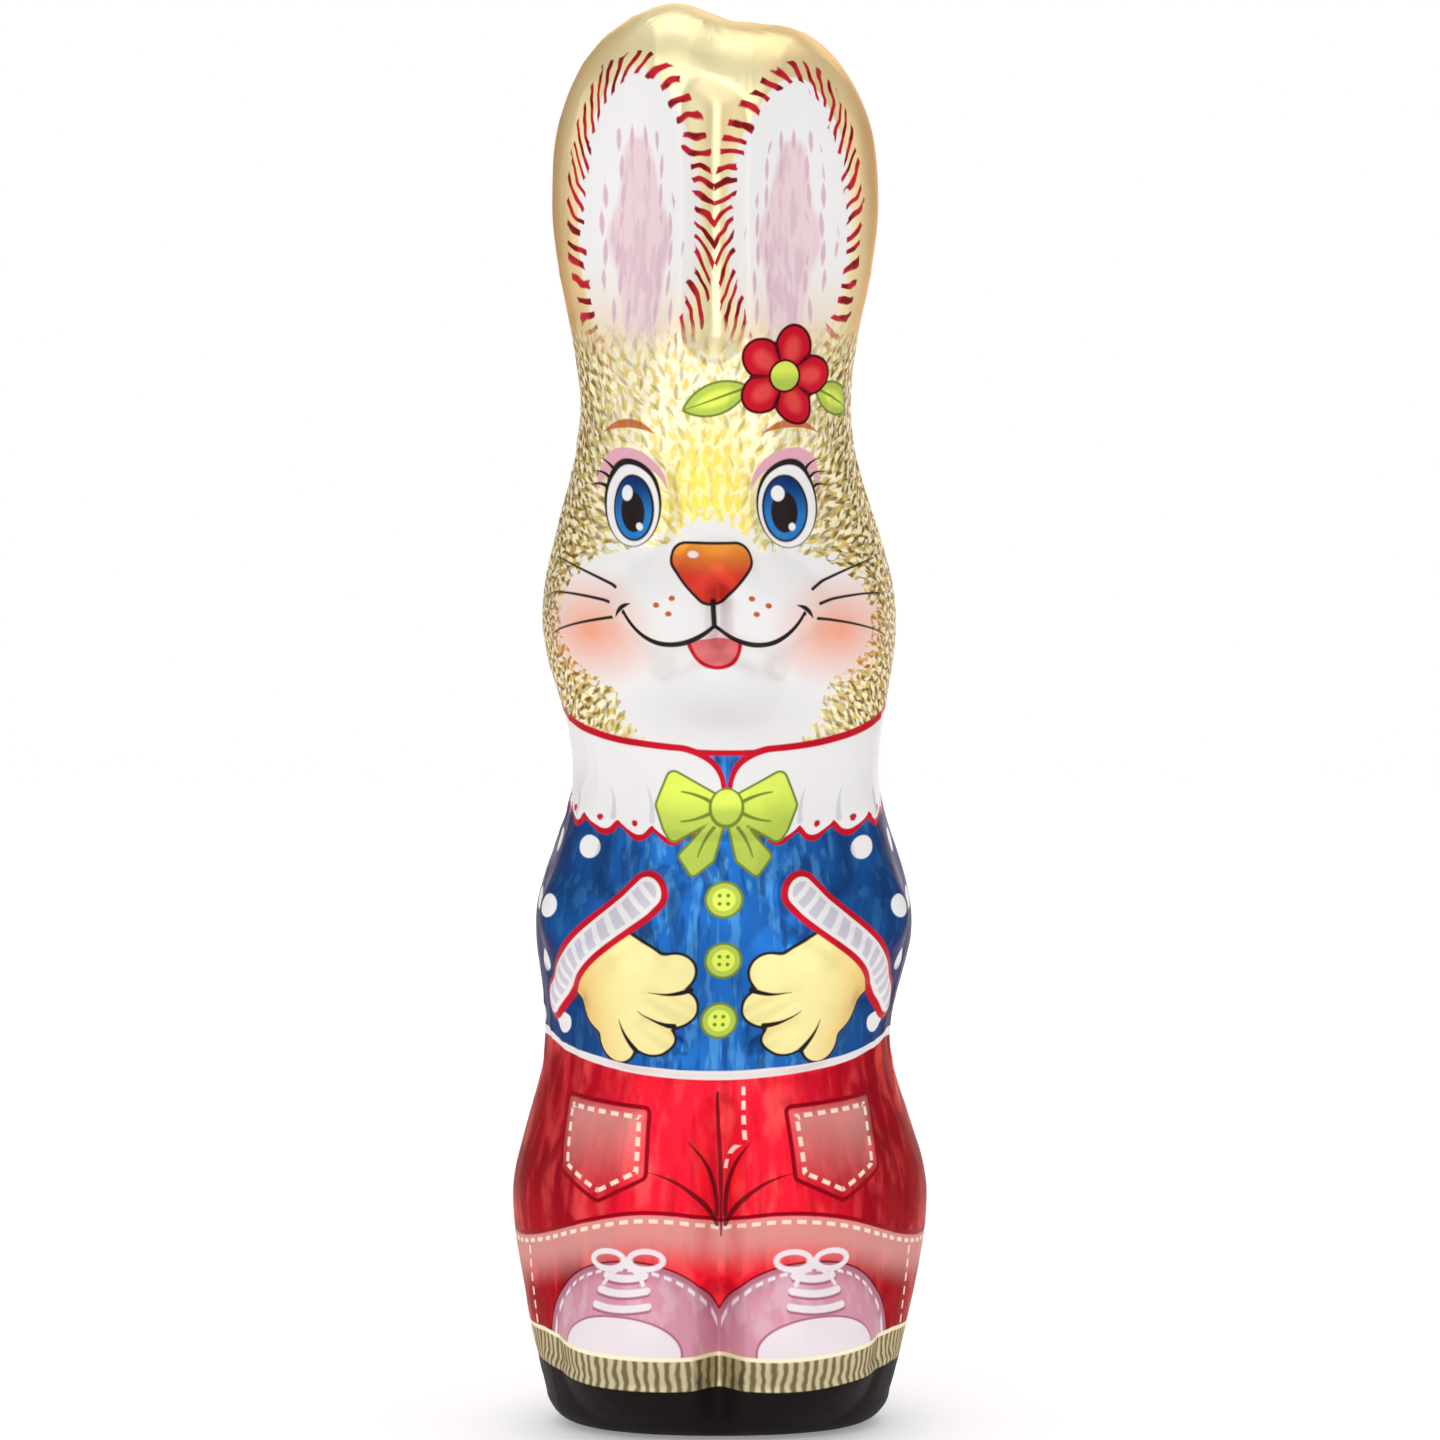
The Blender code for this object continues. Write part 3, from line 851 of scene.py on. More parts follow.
def scatter_group():
    """A node group: a mask of leaf-shaped strokes, one to each cell of a grid, that fan out."""
    vectors = ("Place", "Scale", "Turn", "Shift", "Centre")
    group = MaskGroup("scatter", vectors, ("Half Width", "Spread", "Soft"))
    place, scale, turn, shift, centre, half_width, spread, soft = group.given
    across = group.vector("CROSS_PRODUCT", place, turn)
    grid = group.vector("MULTIPLY_ADD", place, scale, shift)
    grid = group.vector("ADD", grid, across)
    cell = group.vector("FLOOR", grid)
    off = group.vector("SUBTRACT", group.vector("SUBTRACT", grid, cell), (0.5, 0.5, 0.0))
    along = group.vector("NORMALIZE", group.vector("SUBTRACT", cell, centre))
    aside = group.vector("CROSS_PRODUCT", along, (0.0, 0.0, 1.0))
    chance = group.vector("DOT_PRODUCT", cell, CELL_MIX)
    chance = group.maths("FRACT", group.both(group.maths("SINE", chance), CELL_SCATTER))
    second = group.maths("FRACT", group.both(chance, SECOND_SCATTER))
    u = group.vector("DOT_PRODUCT", off, along)
    v = group.vector("DOT_PRODUCT", off, aside)
    v = group.maths("ADD", v, group.fit(second, 2.0 * CELL_SHIFT, -CELL_SHIFT))
    lean = group.both(group.minus(chance, 0.5), spread)
    share = group.both(group.maths("ADD", u, group.both(v, lean)), CELL_LENGTHS)
    thin = group.both(group.minus(1.0, group.both(share, share)), half_width)
    leant = group.minus(v, group.both(u, lean))
    return group.end(group.minus(thin, group.absolute(leant)), soft)


class Print(Nodes):
    """A foil material, built up as inks laid over one another."""

    def __init__(self, name, strokes, scatter):
        self.material = bpy.data.materials.new(name)
        self.material.use_nodes = True
        super().__init__(self.material.node_tree)
        self.stroke_tree, self.scatter_tree = strokes, scatter
        self.place = self.read("place", "Vector")
        self.mirrored = self.vector("ABSOLUTE", self.place)
        self.across = self.vector("DOT_PRODUCT", self.place, (1.0, 0.0, 0.0))
        self.up = self.vector("DOT_PRODUCT", self.place, (0.0, 1.0, 0.0))
        self.aside = self.absolute(self.across)
        self.colour = colour_of(GOLD)
        self.metallic = GOLD.metallic
        self.dull = 0.0

    def read(self, name, output="Fac"):
        return self.node("ShaderNodeAttribute", attribute_name=name, output=output)

    def inside(self, distance, grow=0.0, soft=SOFT_EDGE):
        """1 where a distance is below grow, with a soft edge."""
        share = 0.5 / soft
        return self.clamp(self.fit(distance, -share, 0.5 + grow * share))

    def ramp(self, value, start, end):
        """An even S curve from 0 at start to 1 at end."""
        smoothed = {"interpolation_type": "SMOOTHSTEP"}
        return self.node("ShaderNodeMapRange", value, start, end, **smoothed)

    def rim(self, distance, centre, half_width, soft=SOFT_EDGE):
        """1 along a line that runs beside a shape's edge."""
        return self.inside(self.absolute(self.minus(distance, centre)), half_width, soft)

    def either(self, *masks):
        total = masks[0]
        for mask in masks[1:]:
            total = self.maths("MAXIMUM", total, mask)
        return total

    def without(self, mask, other):
        return self.both(mask, self.minus(1.0, other))

    def oval(self, centre, half_s, half_z, place=None, soft=SOFT_EDGE):
        """The mask of an oval, mirrored unless a place is given."""
        place = self.mirrored if place is None else place
        scale = (1.0 / half_s, 1.0 / half_z, 0.0)
        shift = (-centre[0] / half_s, -centre[1] / half_z, 0.0)
        size = self.vector("LENGTH", self.vector("MULTIPLY_ADD", place, scale, shift))
        return self.inside(size, 1.0, soft / min(half_s, half_z))

    def stroke(self, start, end, bend=0.0, half_width=0.2, taper=0.0, swell=0.0, place=None):
        """The mask of a brush stroke, mirrored unless a place is given."""
        place = self.mirrored if place is None else place
        run = Vector((end[0] - start[0], end[1] - start[1], 0.0))
        along = run.normalized()
        line = (*start, 0.0), along, (-along.y, along.x, 0.0), run.length
        values = place, *line, bend, half_width, taper, swell
        return self.node("ShaderNodeGroup", *values, node_tree=self.stroke_tree)

    def strokes(self, table, place=None):
        """The mask of every stroke in a table."""
        return self.either(*[self.stroke(*row, place=place) for row in table])

    def off_step(self, phase):
        """How far a phase is from the middle of its whole step, from 0 to 0.5."""
        return self.absolute(self.minus(self.maths("FRACT", phase), 0.5))

    def dashed(self, along, pitch=1.5):
        """A row of dashes, by the length along a line."""
        return self.inside(self.off_step(self.maths("DIVIDE", along, pitch)), DASH_SHARE, 0.04)

    def ticks(self, phase):
        """Uneven ticks, one to each whole step of a phase."""
        phase = self.wavering(phase, TICK_CELL, TICK_WANDER)
        return self.inside(self.off_step(phase), TICK_SHARE, 0.05)

    def dashes(self, cell, half_width, lie, spread, seed, stretch=1.0):
        """Scattered strokes, one to a cell. They lie at an angle, or fan out from a point."""
        turn = 0.0 if stretch > 1.0 else SEED_TURN * seed
        scale = (math.cos(turn) / cell, math.cos(turn) / (cell * stretch), 0.0)
        swirl = math.sin(turn) / cell
        shift = (SEED_SHIFT[0] * seed, SEED_SHIFT[1] * seed, 0.0)
        if isinstance(lie, tuple):
            s, z = lie
            centre = (s * scale[0] + z * swirl + shift[0], z * scale[1] - s * swirl + shift[1], 0.0)
        else:
            centre = (-FAR * math.cos(lie - turn), -FAR * math.sin(lie - turn), 0.0)
        grid = scale, (0.0, 0.0, swirl), shift, centre
        values = self.place, *grid, half_width, spread, 0.5 * cell / SOFT_EDGE
        return self.node("ShaderNodeGroup", *values, node_tree=self.scatter_tree)

    def mix(self, *values):
        """A blend of two colours by a share."""
        settings = {"data_type": "RGBA", "sockets": (0, 6, 7), "output": 2}
        return self.node("ShaderNodeMix", *values, **settings)

    def lay(self, mask, ink, second=None, share=None, opacity=1.0):
        """Lays an ink over the print. With a second ink, share says where that one shows."""
        if opacity != 1.0:
            mask = self.both(mask, opacity)
        self.colour = self.mix(mask, self.colour, colour_of(ink))
        if second is not None:
            self.colour = self.mix(self.both(mask, share), self.colour, colour_of(second))
        metals = mask, self.metallic, ink.metallic
        self.metallic = self.node("ShaderNodeMix", *metals, sockets=(0, 2, 3), data_type="FLOAT")

    def field(self, distance, outline, width, *inks):
        """Lays a shape in an ink, or in two, with an outline round it."""
        self.lay(self.inside(distance, width), outline)
        self.lay(self.inside(distance), *inks)

    def patterned(self, scale, detail=1.0, stretch=(1.0, 1.0, 1.0)):
        """Noise from 0 to 1 on the figure's own coordinates, in cells of a size in mm."""
        here = self.node("ShaderNodeTexCoord", output="Object")
        size = tuple(each / (scale * MM) for each in stretch)
        scaled = self.node("ShaderNodeMapping", here, NOWHERE, NOWHERE, size)
        return self.node("ShaderNodeTexNoise", scaled, 0.0, 1.0, detail)

    def wavering(self, value, scale, depth):
        """A value with noise added to it, from 0 to a depth."""
        return self.fit(self.patterned(scale), depth, value)

    def streaks(self, scale, start, end, grain):
        """A mask of painted streaks."""
        return self.ramp(self.patterned(scale, 2.0, grain), start, end)

    def finish(self):
        """Wires the built-up print to the shader, with the foil's fine grain."""
        rough = self.fit(self.patterned(*ROUGHNESS_GRAIN), ROUGHNESS_SPREAD, ROUGHNESS)
        grain = self.patterned(*BUMP_GRAIN)
        bump = {"sockets": ("Strength", "Distance", "Height")}
        for socket, value in (
            ("Base Color", self.colour),
            ("Metallic", self.metallic),
            ("Roughness", self.fit(self.dull, DULLER, rough)),
            ("Specular IOR Level", SPECULAR),
            ("Specular Tint", EDGE_TINT),
            ("Normal", self.node("ShaderNodeBump", BUMP_STRENGTH, BUMP_DEPTH * MM, grain, **bump)),
        ):
            self.feed(self.tree.nodes["Principled BSDF"].inputs[socket], value)
        return self.material


# The two prints: scattered strokes and painted streaks by size, ink and opacity

FUR_STROKES = (
    (1.45, 0.27, FUR_MID, 0.75),
    (1.6, 0.24, FUR_CREAM, 0.9),
    (1.75, 0.22, FUR_MID, 0.7),
    (1.5, 0.2, FUR_CREAM, 0.85),
)
SIDE_FUR_STROKES = ((1.3, 0.17, FUR_BROWN), (1.2, 0.16, FUR_BROWN), (1.35, 0.18, FUR_CREAM))
# The light streaks are painted sheen; the dark ones are uneven darker tone
JUMPER_STREAKS = ((1.0, SHIRT_SHEEN, 0.55), (1.3, SHIRT_SHADE, 0.6))
TROUSER_STREAKS = (
    (3.2, TROUSER_SHEEN, 0.6, SHORT_GRAIN),
    (1.4, TROUSER_SHEEN, 0.25, UPRIGHT_GRAIN),
    (1.2, TROUSER_SHADE_AND_OUTLINE, 0.35, UPRIGHT_GRAIN),
)


def lay_gold(ink):
    """The bare foil is a little warmer in places, and painted shade darkens it towards the sides.
    """
    ink.lay(ink.ramp(ink.patterned(16.0), 0.35, 0.65), WARM_GOLD, opacity=0.8)
    # Painted shade: the bare gold turns darker and browner towards the sides
    ink.lay(ink.ramp(ink.aside, 11.0, 21.0), SIDE_SHADE_GOLD, opacity=0.8)


def lay_ears(ink):
    """Slanted ticks, drawn along the rim of each ear."""
    rim, along = ink.read("ear_leaf"), ink.read("ear_along")
    phase = ink.fit(rim, 0.5, ink.maths("DIVIDE", along, TICK_PITCH))
    uneven = ink.wavering(ink.minus(rim, 0.8), 1.4, 1.6)
    tick = ink.both(ink.rim(uneven, 0.5, 1.15), ink.ticks(phase), ink.ramp(ink.up, 110.0, 112.5))
    ink.lay(tick, TICK_RED, TICK_BROWN, ink.ramp(ink.patterned(2.0), 0.45, 0.6))


def lay_ear_leaves(ink):
    """White inner ears with brushed pink middles, and a peach flush low down."""
    leaf_mask = ink.inside(ink.read("ear_leaf"))
    pink = ink.read("ear_pink")
    ink.lay(leaf_mask, WHITE)
    ink.lay(ink.both(leaf_mask, ink.ramp(ink.up, 124.0, 111.0)), PEACH, opacity=0.55)
    ink.lay(ink.inside(pink, 0.0, 0.3), EAR_PINK_INK)
    streaks = ink.streaks(0.9, 0.46, 0.6, UPRIGHT_GRAIN)
    ink.lay(ink.both(ink.inside(pink, -0.2, 0.4), streaks), EAR_ROSE, opacity=0.7)
    hairs = ink.dashes(1.5, 0.15, UPRIGHT, 0.4, 12, 2.0)
    ink.lay(ink.both(ink.rim(pink, 0.3, 1.3), hairs), EAR_ROSE)


def lay_fur(ink, centre, low, high):
    """Short strokes of dark and pale gold that fan out over the head."""
    zone = ink.both(ink.ramp(ink.up, low, low + 2.0), ink.ramp(ink.up, high, high - 6.0))
    side = ink.ramp(ink.aside, 7.0, 16.0)
    ink.lay(ink.without(zone, ink.both(side, 0.7)), FUR_PALE)
    ink.lay(ink.both(zone, side), FUR_DEEP, opacity=0.75)
    for cell, half_width, shade, opacity in FUR_STROKES:
        strokes = ink.dashes(cell, half_width, centre, 1.1, round(cell * 20.0))
        ink.lay(ink.both(zone, strokes), shade, opacity=opacity)
    for cell, half_width, shade in SIDE_FUR_STROKES:
        strokes = ink.dashes(cell, half_width, centre, 1.4, round(cell * 20.0) + 7)
        ink.lay(ink.both(zone, side, strokes), shade, opacity=0.9)
    ink.lay(ink.both(zone, ink.dashes(1.9, 0.12, centre, 1.4, 5)), FUR_BROWN, opacity=0.45)


def lay_eyes(ink):
    """Blue eyes with lids, lashes and brows."""
    s, z = EYE
    lid = ink.without(ink.oval((s + 0.1, z + 1.3), 4.1, 4.6), ink.oval((s, z - 0.6), 4.4, 4.8))
    ink.lay(lid, LID_ROSE)
    ink.lay(ink.strokes(LASHES), LINE_DARK)
    ink.lay(ink.oval((s, z + 0.15), 3.35, 4.6), LINE_DARK)
    ink.lay(ink.oval((s, z - 0.15), 3.1, 4.2), WHITE)
    ink.lay(ink.oval((s - 0.3, z - 0.4), 2.35, 3.45), LINE_DARK)
    glow = ink.ramp(ink.up, z + 2.6, z - 2.2)
    ink.lay(ink.oval((s - 0.3, z - 0.4), 2.1, 3.2), IRIS_DEEP, IRIS_BLUE, glow)
    ink.lay(ink.oval((s - 0.4, z - 0.8), 1.3, 2.1), LINE_DARK)
    for across in (s - 1.0, -s - 0.2):
        ink.lay(ink.oval((across, z + 1.1), 0.66, 0.8, ink.place), WHITE)
        ink.lay(ink.oval((across + 1.3, z - 2.3), 0.34, 0.4, ink.place), WHITE)
    ink.lay(ink.stroke(*BROW), BROW_BROWN, opacity=0.9)


def lay_face(ink):
    """The white muzzle, blush, nose, mouth and whiskers."""
    ink.lay(ink.oval(BRIDGE, 4.4, 7.5, soft=2.4), FUR_LEMON, opacity=0.55)
    bridge = ink.oval(BRIDGE, 4.6, 7.0, soft=1.5)
    bridge = ink.both(bridge, ink.dashes(1.2, 0.3, UPRIGHT, 0.5, 6, 2.0))
    ink.lay(bridge, FUR_LEMON, opacity=0.8)
    muzzle = ink.read("muzzle")
    ink.lay(ink.inside(ink.wavering(muzzle, 0.8, 1.4), 0.7), WHITE)
    tufts = ink.both(ink.rim(muzzle, 0.3, 0.9), ink.dashes(1.4, 0.24, (0.0, 86.0), 0.8, 7))
    ink.lay(tufts, WHITE)
    ink.lay(ink.oval(CHEEK, 4.2, 3.4, soft=3.0), BLUSH, opacity=0.85)
    ink.lay(ink.oval(CHIN, 6.0, 2.4, soft=2.2), SHADE_LILAC, opacity=0.5)
    lay_eyes(ink)
    nose, glow = ink.read("nose"), ink.ramp(ink.up, 90.4, 95.2)
    ink.field(nose, LINE_DARK, 0.3, NOSE_RED, NOSE_ORANGE, glow)
    ink.lay(ink.oval(*NOSE_SHINE, ink.place), WHITE)
    for half_s, half_z, shade in ((2.7, 2.5, PIPING_RED), (2.3, 2.1, LIP_PINK)):
        ink.lay(ink.both(ink.oval(TONGUE, half_s, half_z), ink.inside(ink.up, 84.2)), shade)
    under = ink.both(ink.oval((3.9, 88.2), 4.6, 3.6), ink.inside(ink.up, 86.4))
    ink.lay(ink.both(under, ink.inside(ink.aside, 3.2)), WHITE)
    ink.lay(ink.strokes(MOUTH), LINE_DARK)
    ink.lay(ink.strokes(WHISKERS), LINE_DARK)
    ink.lay(ink.either(*[ink.oval(place, 0.28, 0.28) for place in WHISKER_DOTS]), BROW_BROWN)


def lay_flower(ink):
    """A red flower with two leaves, by the base of one ear."""
    leaves, flower, gap = (ink.read(name) for name in ("leaves", "flower", "petal_gap"))
    ink.field(leaves, LIME_DARK, 0.25, LIME, LIME_LIGHT, ink.ramp(leaves, -0.3, -1.1))
    for start, end, _ in FLOWER_LEAVES:
        ink.lay(ink.stroke(start, end, 0.0, 0.16, 0.7, place=ink.place), LIME_DARK)
    glow = ink.ramp(flower, -0.5, -1.5)
    ink.field(flower, PETAL_DARK, 0.28, PIPING_RED, PETAL_LIGHT, glow)
    ink.lay(ink.both(ink.inside(flower), ink.inside(gap, -0.9, 0.08)), PETAL_DARK)
    ink.lay(ink.oval(FLOWER_CENTRE, 1.75, 1.75, ink.place), PETAL_DARK)
    middle = ink.oval(FLOWER_CENTRE, 1.5, 1.5, ink.place)
    ink.lay(middle, LIME, LIME_LIGHT, ink.ramp(ink.up, 110.6, 112.2))


def lay_jumper(ink):
    """The dotted blue jumper, with painted shade towards the sides and painted streaks, the light
    ones as sheen.
    """
    mottle = ink.patterned(5.0, 3.0, (1.0, 1.0, 0.4))
    side = ink.ramp(ink.aside, 7.0, 18.0)
    # Painted shade towards the sides, mixed with uneven tone
    tone_and_shade = ink.clamp(ink.fit(side, 0.7, ink.fit(mottle, 0.9, -0.35)))
    neck = ink.read("neck")
    body = ink.inside(neck)
    ink.lay(body, SHIRT_BLUE, SHIRT_SHADE, tone_and_shade)
    # Light streaks in the middle are painted sheen as well as brush strokes
    middle = ink.without(body, ink.both(side, 0.8))
    for size, shade, opacity in JUMPER_STREAKS:
        streaks = ink.streaks(size, 0.5, 0.64, UPRIGHT_GRAIN)
        ink.lay(ink.both(middle, streaks), shade, opacity=opacity)
    ink.lay(ink.inside(ink.read("dots")), WHITE)
    ink.lay(ink.rim(neck, 0.1, 0.3), PIPING_RED)
    return mottle, side


def lay_collar(ink):
    """The white collar with its red piping and dots."""
    collar = ink.read("collar")
    ink.lay(ink.inside(collar), WHITE)
    ink.lay(ink.strokes(COLLAR_FOLDS), SHADE_LILAC, opacity=0.8)
    ink.lay(ink.both(ink.inside(collar, -1.0), ink.inside(ink.read("collar_dots"))), TICK_RED)
    ink.lay(ink.rim(collar, 0.0, 0.34), PIPING_RED)


def lay_bow(ink):
    """The lime bow at the collar."""
    bow, glow = ink.read("bow"), ink.ramp(ink.up, 64.0, 68.5)
    ink.field(bow, LIME_DARK, 0.25, LIME, LIME_LIGHT, glow)
    ink.lay(ink.strokes(BOW_FOLDS), LIME_DARK)
    ink.lay(ink.oval((0.0, 66.4), 1.75, 2.05), LIME_DARK)
    ink.lay(ink.oval((0.0, 66.5), 1.45, 1.75), LIME, LIME_LIGHT, ink.ramp(ink.up, 65.6, 67.2))


def lay_arms(ink):
    """Sleeves with a painted shadow along them, buttons, paws and turned cuffs."""
    sleeve = ink.read("sleeve")
    # Painted shadow: a soft dark band along the outside of each sleeve
    ink.lay(ink.rim(sleeve, 0.4, 0.5, 0.6), SHIRT_SHADE, opacity=0.9)
    for height in BUTTONS:
        for radius, shade in ((1.95, LIME_DARK), (1.7, LIME), (1.15, LIME_LIGHT)):
            ink.lay(ink.oval((0.0, height), radius, radius), shade)
        holes = [ink.oval((0.42, height + rise), 0.2, 0.2) for rise in (-0.42, 0.42)]
        ink.lay(ink.either(*holes), LIME_DARK)
    paw = ink.read("paw")
    ink.field(paw, LINE_DARK, 0.28, PAW_CREAM)
    ink.lay(ink.both(ink.inside(paw), ink.ramp(ink.aside, 7.5, 15.0)), PAW_SHADE, opacity=0.8)
    ink.lay(ink.strokes(TOE_LINES), LINE_DARK)
    cuff = ink.read("cuff")
    ink.lay(ink.inside(cuff, 0.35), PIPING_RED)
    ink.lay(ink.inside(cuff, -0.3), WHITE)
    ribs = ink.dashed(ink.read("cuff_along"))
    ink.lay(ink.both(ink.inside(cuff, -0.75), ribs), SHADE_LILAC)


def lay_trousers(ink, mottle, side):
    """Red trousers with painted shade to the sides and painted sheen, stitched pockets and pale
    turn-ups, and the jumper's white hem.
    """
    hem = ink.read("hem")
    below = ink.inside(hem)
    # Painted shade towards the sides, mixed with uneven tone
    tone_and_shade = ink.clamp(ink.fit(side, 0.8, ink.fit(mottle, 0.8, -0.3)))
    ink.lay(below, TROUSER_RED, TROUSER_SHADE_AND_OUTLINE, tone_and_shade)
    # Broad blotches and thin streaks of painted sheen, and darker streaks
    for size, shade, opacity, grain in TROUSER_STREAKS:
        streaks = ink.streaks(size, 0.5, 0.68, grain)
        ink.lay(ink.both(below, streaks), shade, opacity=opacity)
    pocket = ink.read("pocket")
    pale = ink.both(ink.inside(pocket, -0.6, 0.8), ink.ramp(ink.up, 25.0, 36.0))
    ink.lay(pale, TURN_PINK, opacity=0.8)
    ink.lay(ink.rim(pocket, 0.0, 0.22), TROUSER_SHADE_AND_OUTLINE)
    turn = ink.read("turn_up")
    ink.lay(ink.both(ink.inside(turn, -0.3), ink.ramp(turn, -6.5, -2.0)), TURN_PINK, opacity=0.85)
    ink.lay(ink.rim(turn, 0.0, 0.2), TROUSER_SHADE_AND_OUTLINE)
    stitches = ink.dashed(ink.read("pocket_along"))
    ink.lay(ink.both(ink.rim(pocket, -1.0, 0.22), stitches), STITCH_CREAM)
    ink.lay(ink.both(ink.rim(turn, -0.9, 0.22), ink.dashed(ink.aside)), STITCH_CREAM)
    seam = ink.both(ink.rim(ink.aside, SIDE_SEAM, 0.2), ink.dashed(ink.up), below)
    ink.lay(ink.both(seam, ink.inside(turn, -1.0)), STITCH_CREAM)
    ink.lay(ink.rim(hem, 0.0, 0.5), WHITE)


def lay_fly(ink):
    """The fly, with its stitching, and the creases that run from it."""
    ink.lay(ink.strokes(TROUSER_CREASES), CREASE_DARK, opacity=0.85)
    ink.lay(ink.both(ink.strokes(FLY, ink.place), ink.dashed(ink.up)), STITCH_CREAM)


def lay_shoes(ink):
    """Pink shoes, outlined in rose and edged with white."""
    shoe = ink.read("shoe")
    ink.lay(ink.inside(shoe, 0.25), CREASE_DARK, opacity=0.8)
    ink.lay(ink.inside(shoe), SHOE_PINK, SHOE_ROSE, ink.ramp(shoe, -2.2, 0.4))
    brushed = ink.streaks(2.4, 0.48, 0.62, SHORT_GRAIN)
    ink.lay(ink.both(ink.inside(shoe, -0.4), brushed), LACE_WHITE, opacity=0.22)
    ink.lay(ink.both(ink.rim(shoe, -0.7, 0.16), ink.dashed(ink.aside, 1.2)), LACE_WHITE)


def lay_laces(ink):
    """White toe caps, laces and their loops."""
    ink.field(ink.read("toe_cap"), SHOE_ROSE, 0.22, LACE_WHITE)
    for left, right, height in LACE_BARS:
        ink.lay(ink.stroke((left, height - 0.25), (right, height - 0.25), -0.3, 0.42), SHOE_ROSE)
    bars = [((left, height), (right, height), -0.3, 0.38) for left, right, height in LACE_BARS]
    laces = ink.strokes(bars)
    loops = [
        ink.without(ink.oval(centre, 2.0, 1.25), ink.oval(centre, 1.4, 0.65))
        for centre in LACE_LOOPS
    ]
    ink.lay(ink.either(laces, *loops, ink.strokes(LACE_ENDS)), LACE_WHITE)
    ink.lay(ink.oval(LACE_KNOT, 0.6, 0.6), LACE_WHITE)


def lay_band(ink):
    """The ribbed gold band round the shoes, over the black sole."""
    sole = ink.read("sole")
    steps = ink.maths("DIVIDE", ink.across, RIB_PITCH)
    ribs = ink.off_step(ink.wavering(steps, 1.6, 0.7))
    ink.lay(ink.inside(sole, BAND_HEIGHT), RIB_LIGHT, RIB_DARK, ink.ramp(ribs, 0.12, 0.4))
    ink.lay(ink.rim(sole, BAND_HEIGHT, 0.22), FUR_CREAM)
    ink.dull = ink.inside(sole)
    ink.lay(ink.dull, SOLE_BLACK)


def lay_tail(ink):
    """The round white tail, with its curls."""
    tail = ink.read("tail")
    ink.lay(ink.inside(ink.wavering(tail, 0.8, 1.6), 0.8), WHITE)
    curls = ink.both(ink.inside(tail, -0.6), ink.dashes(1.4, 0.16, TAIL[0], 1.2, 9))
    ink.lay(curls, SHADE_LILAC)


def front_print(strokes, scatter):
    ink = Print("front_foil", strokes, scatter)
    for lay in (lay_gold, lay_ear_leaves, lay_ears):
        lay(ink)
    lay_fur(ink, (0.0, 90.0), 70.0, 117.5)
    lay_face(ink)
    lay_flower(ink)
    mottle, side = lay_jumper(ink)
    for lay in (lay_arms, lay_collar, lay_bow):
        lay(ink)
    lay_trousers(ink, mottle, side)
    for lay in (lay_fly, lay_shoes, lay_laces, lay_band):
        lay(ink)
    return ink.finish()


def back_print(strokes, scatter):
    ink = Print("back_foil", strokes, scatter)
    lay_gold(ink)
    lay_ears(ink)
    lay_fur(ink, (0.0, 116.0), 70.0, 121.0)
    mottle, side = lay_jumper(ink)
    lay_collar(ink)
    lay_trousers(ink, mottle, side)
    for lay in (lay_tail, lay_shoes, lay_band):
        lay(ink)
    return ink.finish()


# The sheets

UV_MARGIN = 0.01


def grid_mesh(name, points):
    """A mesh of square faces over a grid of points in metres."""
    rows, columns = points.shape[:2]
    index = np.arange(rows * columns).reshape(rows, columns)
    corners = [index[:-1, :-1], index[:-1, 1:], index[1:, 1:], index[1:, :-1]]
    faces = np.stack(corners, axis=-1).reshape(-1, 4)
    mesh = bpy.data.meshes.new(name)
    mesh.vertices.add(rows * columns)
    mesh.vertices.foreach_set("co", points.reshape(-1).astype(np.float32))
    mesh.loops.add(faces.size)
    mesh.loops.foreach_set("vertex_index", faces.reshape(-1).astype(np.int32))
    mesh.polygons.add(len(faces))
    mesh.polygons.foreach_set("loop_start", np.arange(0, faces.size, 4, dtype=np.int32))
    mesh.update(calc_edges=True)
    mesh.shade_smooth()
    return mesh


def store(mesh, name, values, kind="FLOAT"):
    attribute = mesh.attributes.new(name, kind, "POINT")
    field = "value" if kind == "FLOAT" else "vector"
    attribute.data.foreach_set(field, np.ascontiguousarray(values, dtype=np.float32).reshape(-1))


def unfold(mesh, rows, columns):
    """A UV map that lays the sheet out as two strips side by side."""
    layer = mesh.uv_layers.new(name="OFBake")
    vertices = np.empty(len(mesh.loops), dtype=np.int32)
    mesh.loops.foreach_get("vertex_index", vertices)
    row, column = vertices // columns, vertices % columns
    half = rows // 2
    face_row = np.repeat(row.reshape(-1, 4).min(axis=1), 4)
    upper = face_row >= half
    u = UV_MARGIN + (0.5 - 2.0 * UV_MARGIN) * column / (columns - 1) + 0.5 * upper
    share = np.where(upper, (row - half) / (rows - 1 - half), row / half)
    v = UV_MARGIN + (1.0 - 2.0 * UV_MARGIN) * share
    layer.data.foreach_set("uv", np.stack([u, v], axis=-1).astype(np.float32).reshape(-1))


def print_places(skin, turn, front):
    """Where each point of the sheet lies on the print, in millimetres."""
    s = np.sign(turn) * skin.across * (1.0 if front else -1.0)
    if front:
        near = (skin.height - PRINT_OFFSET_HEIGHT) / PRINT_OFFSET_REACH
        s = s - PRINT_OFFSET * np.exp(-(near**2))
    cells = skin.points / WANDER_CELL
    aside, above = PRINT_WANDER * noise(cells, 11), PRINT_WANDER * noise(cells, 12)
    return Flat(s + aside, skin.height + above)


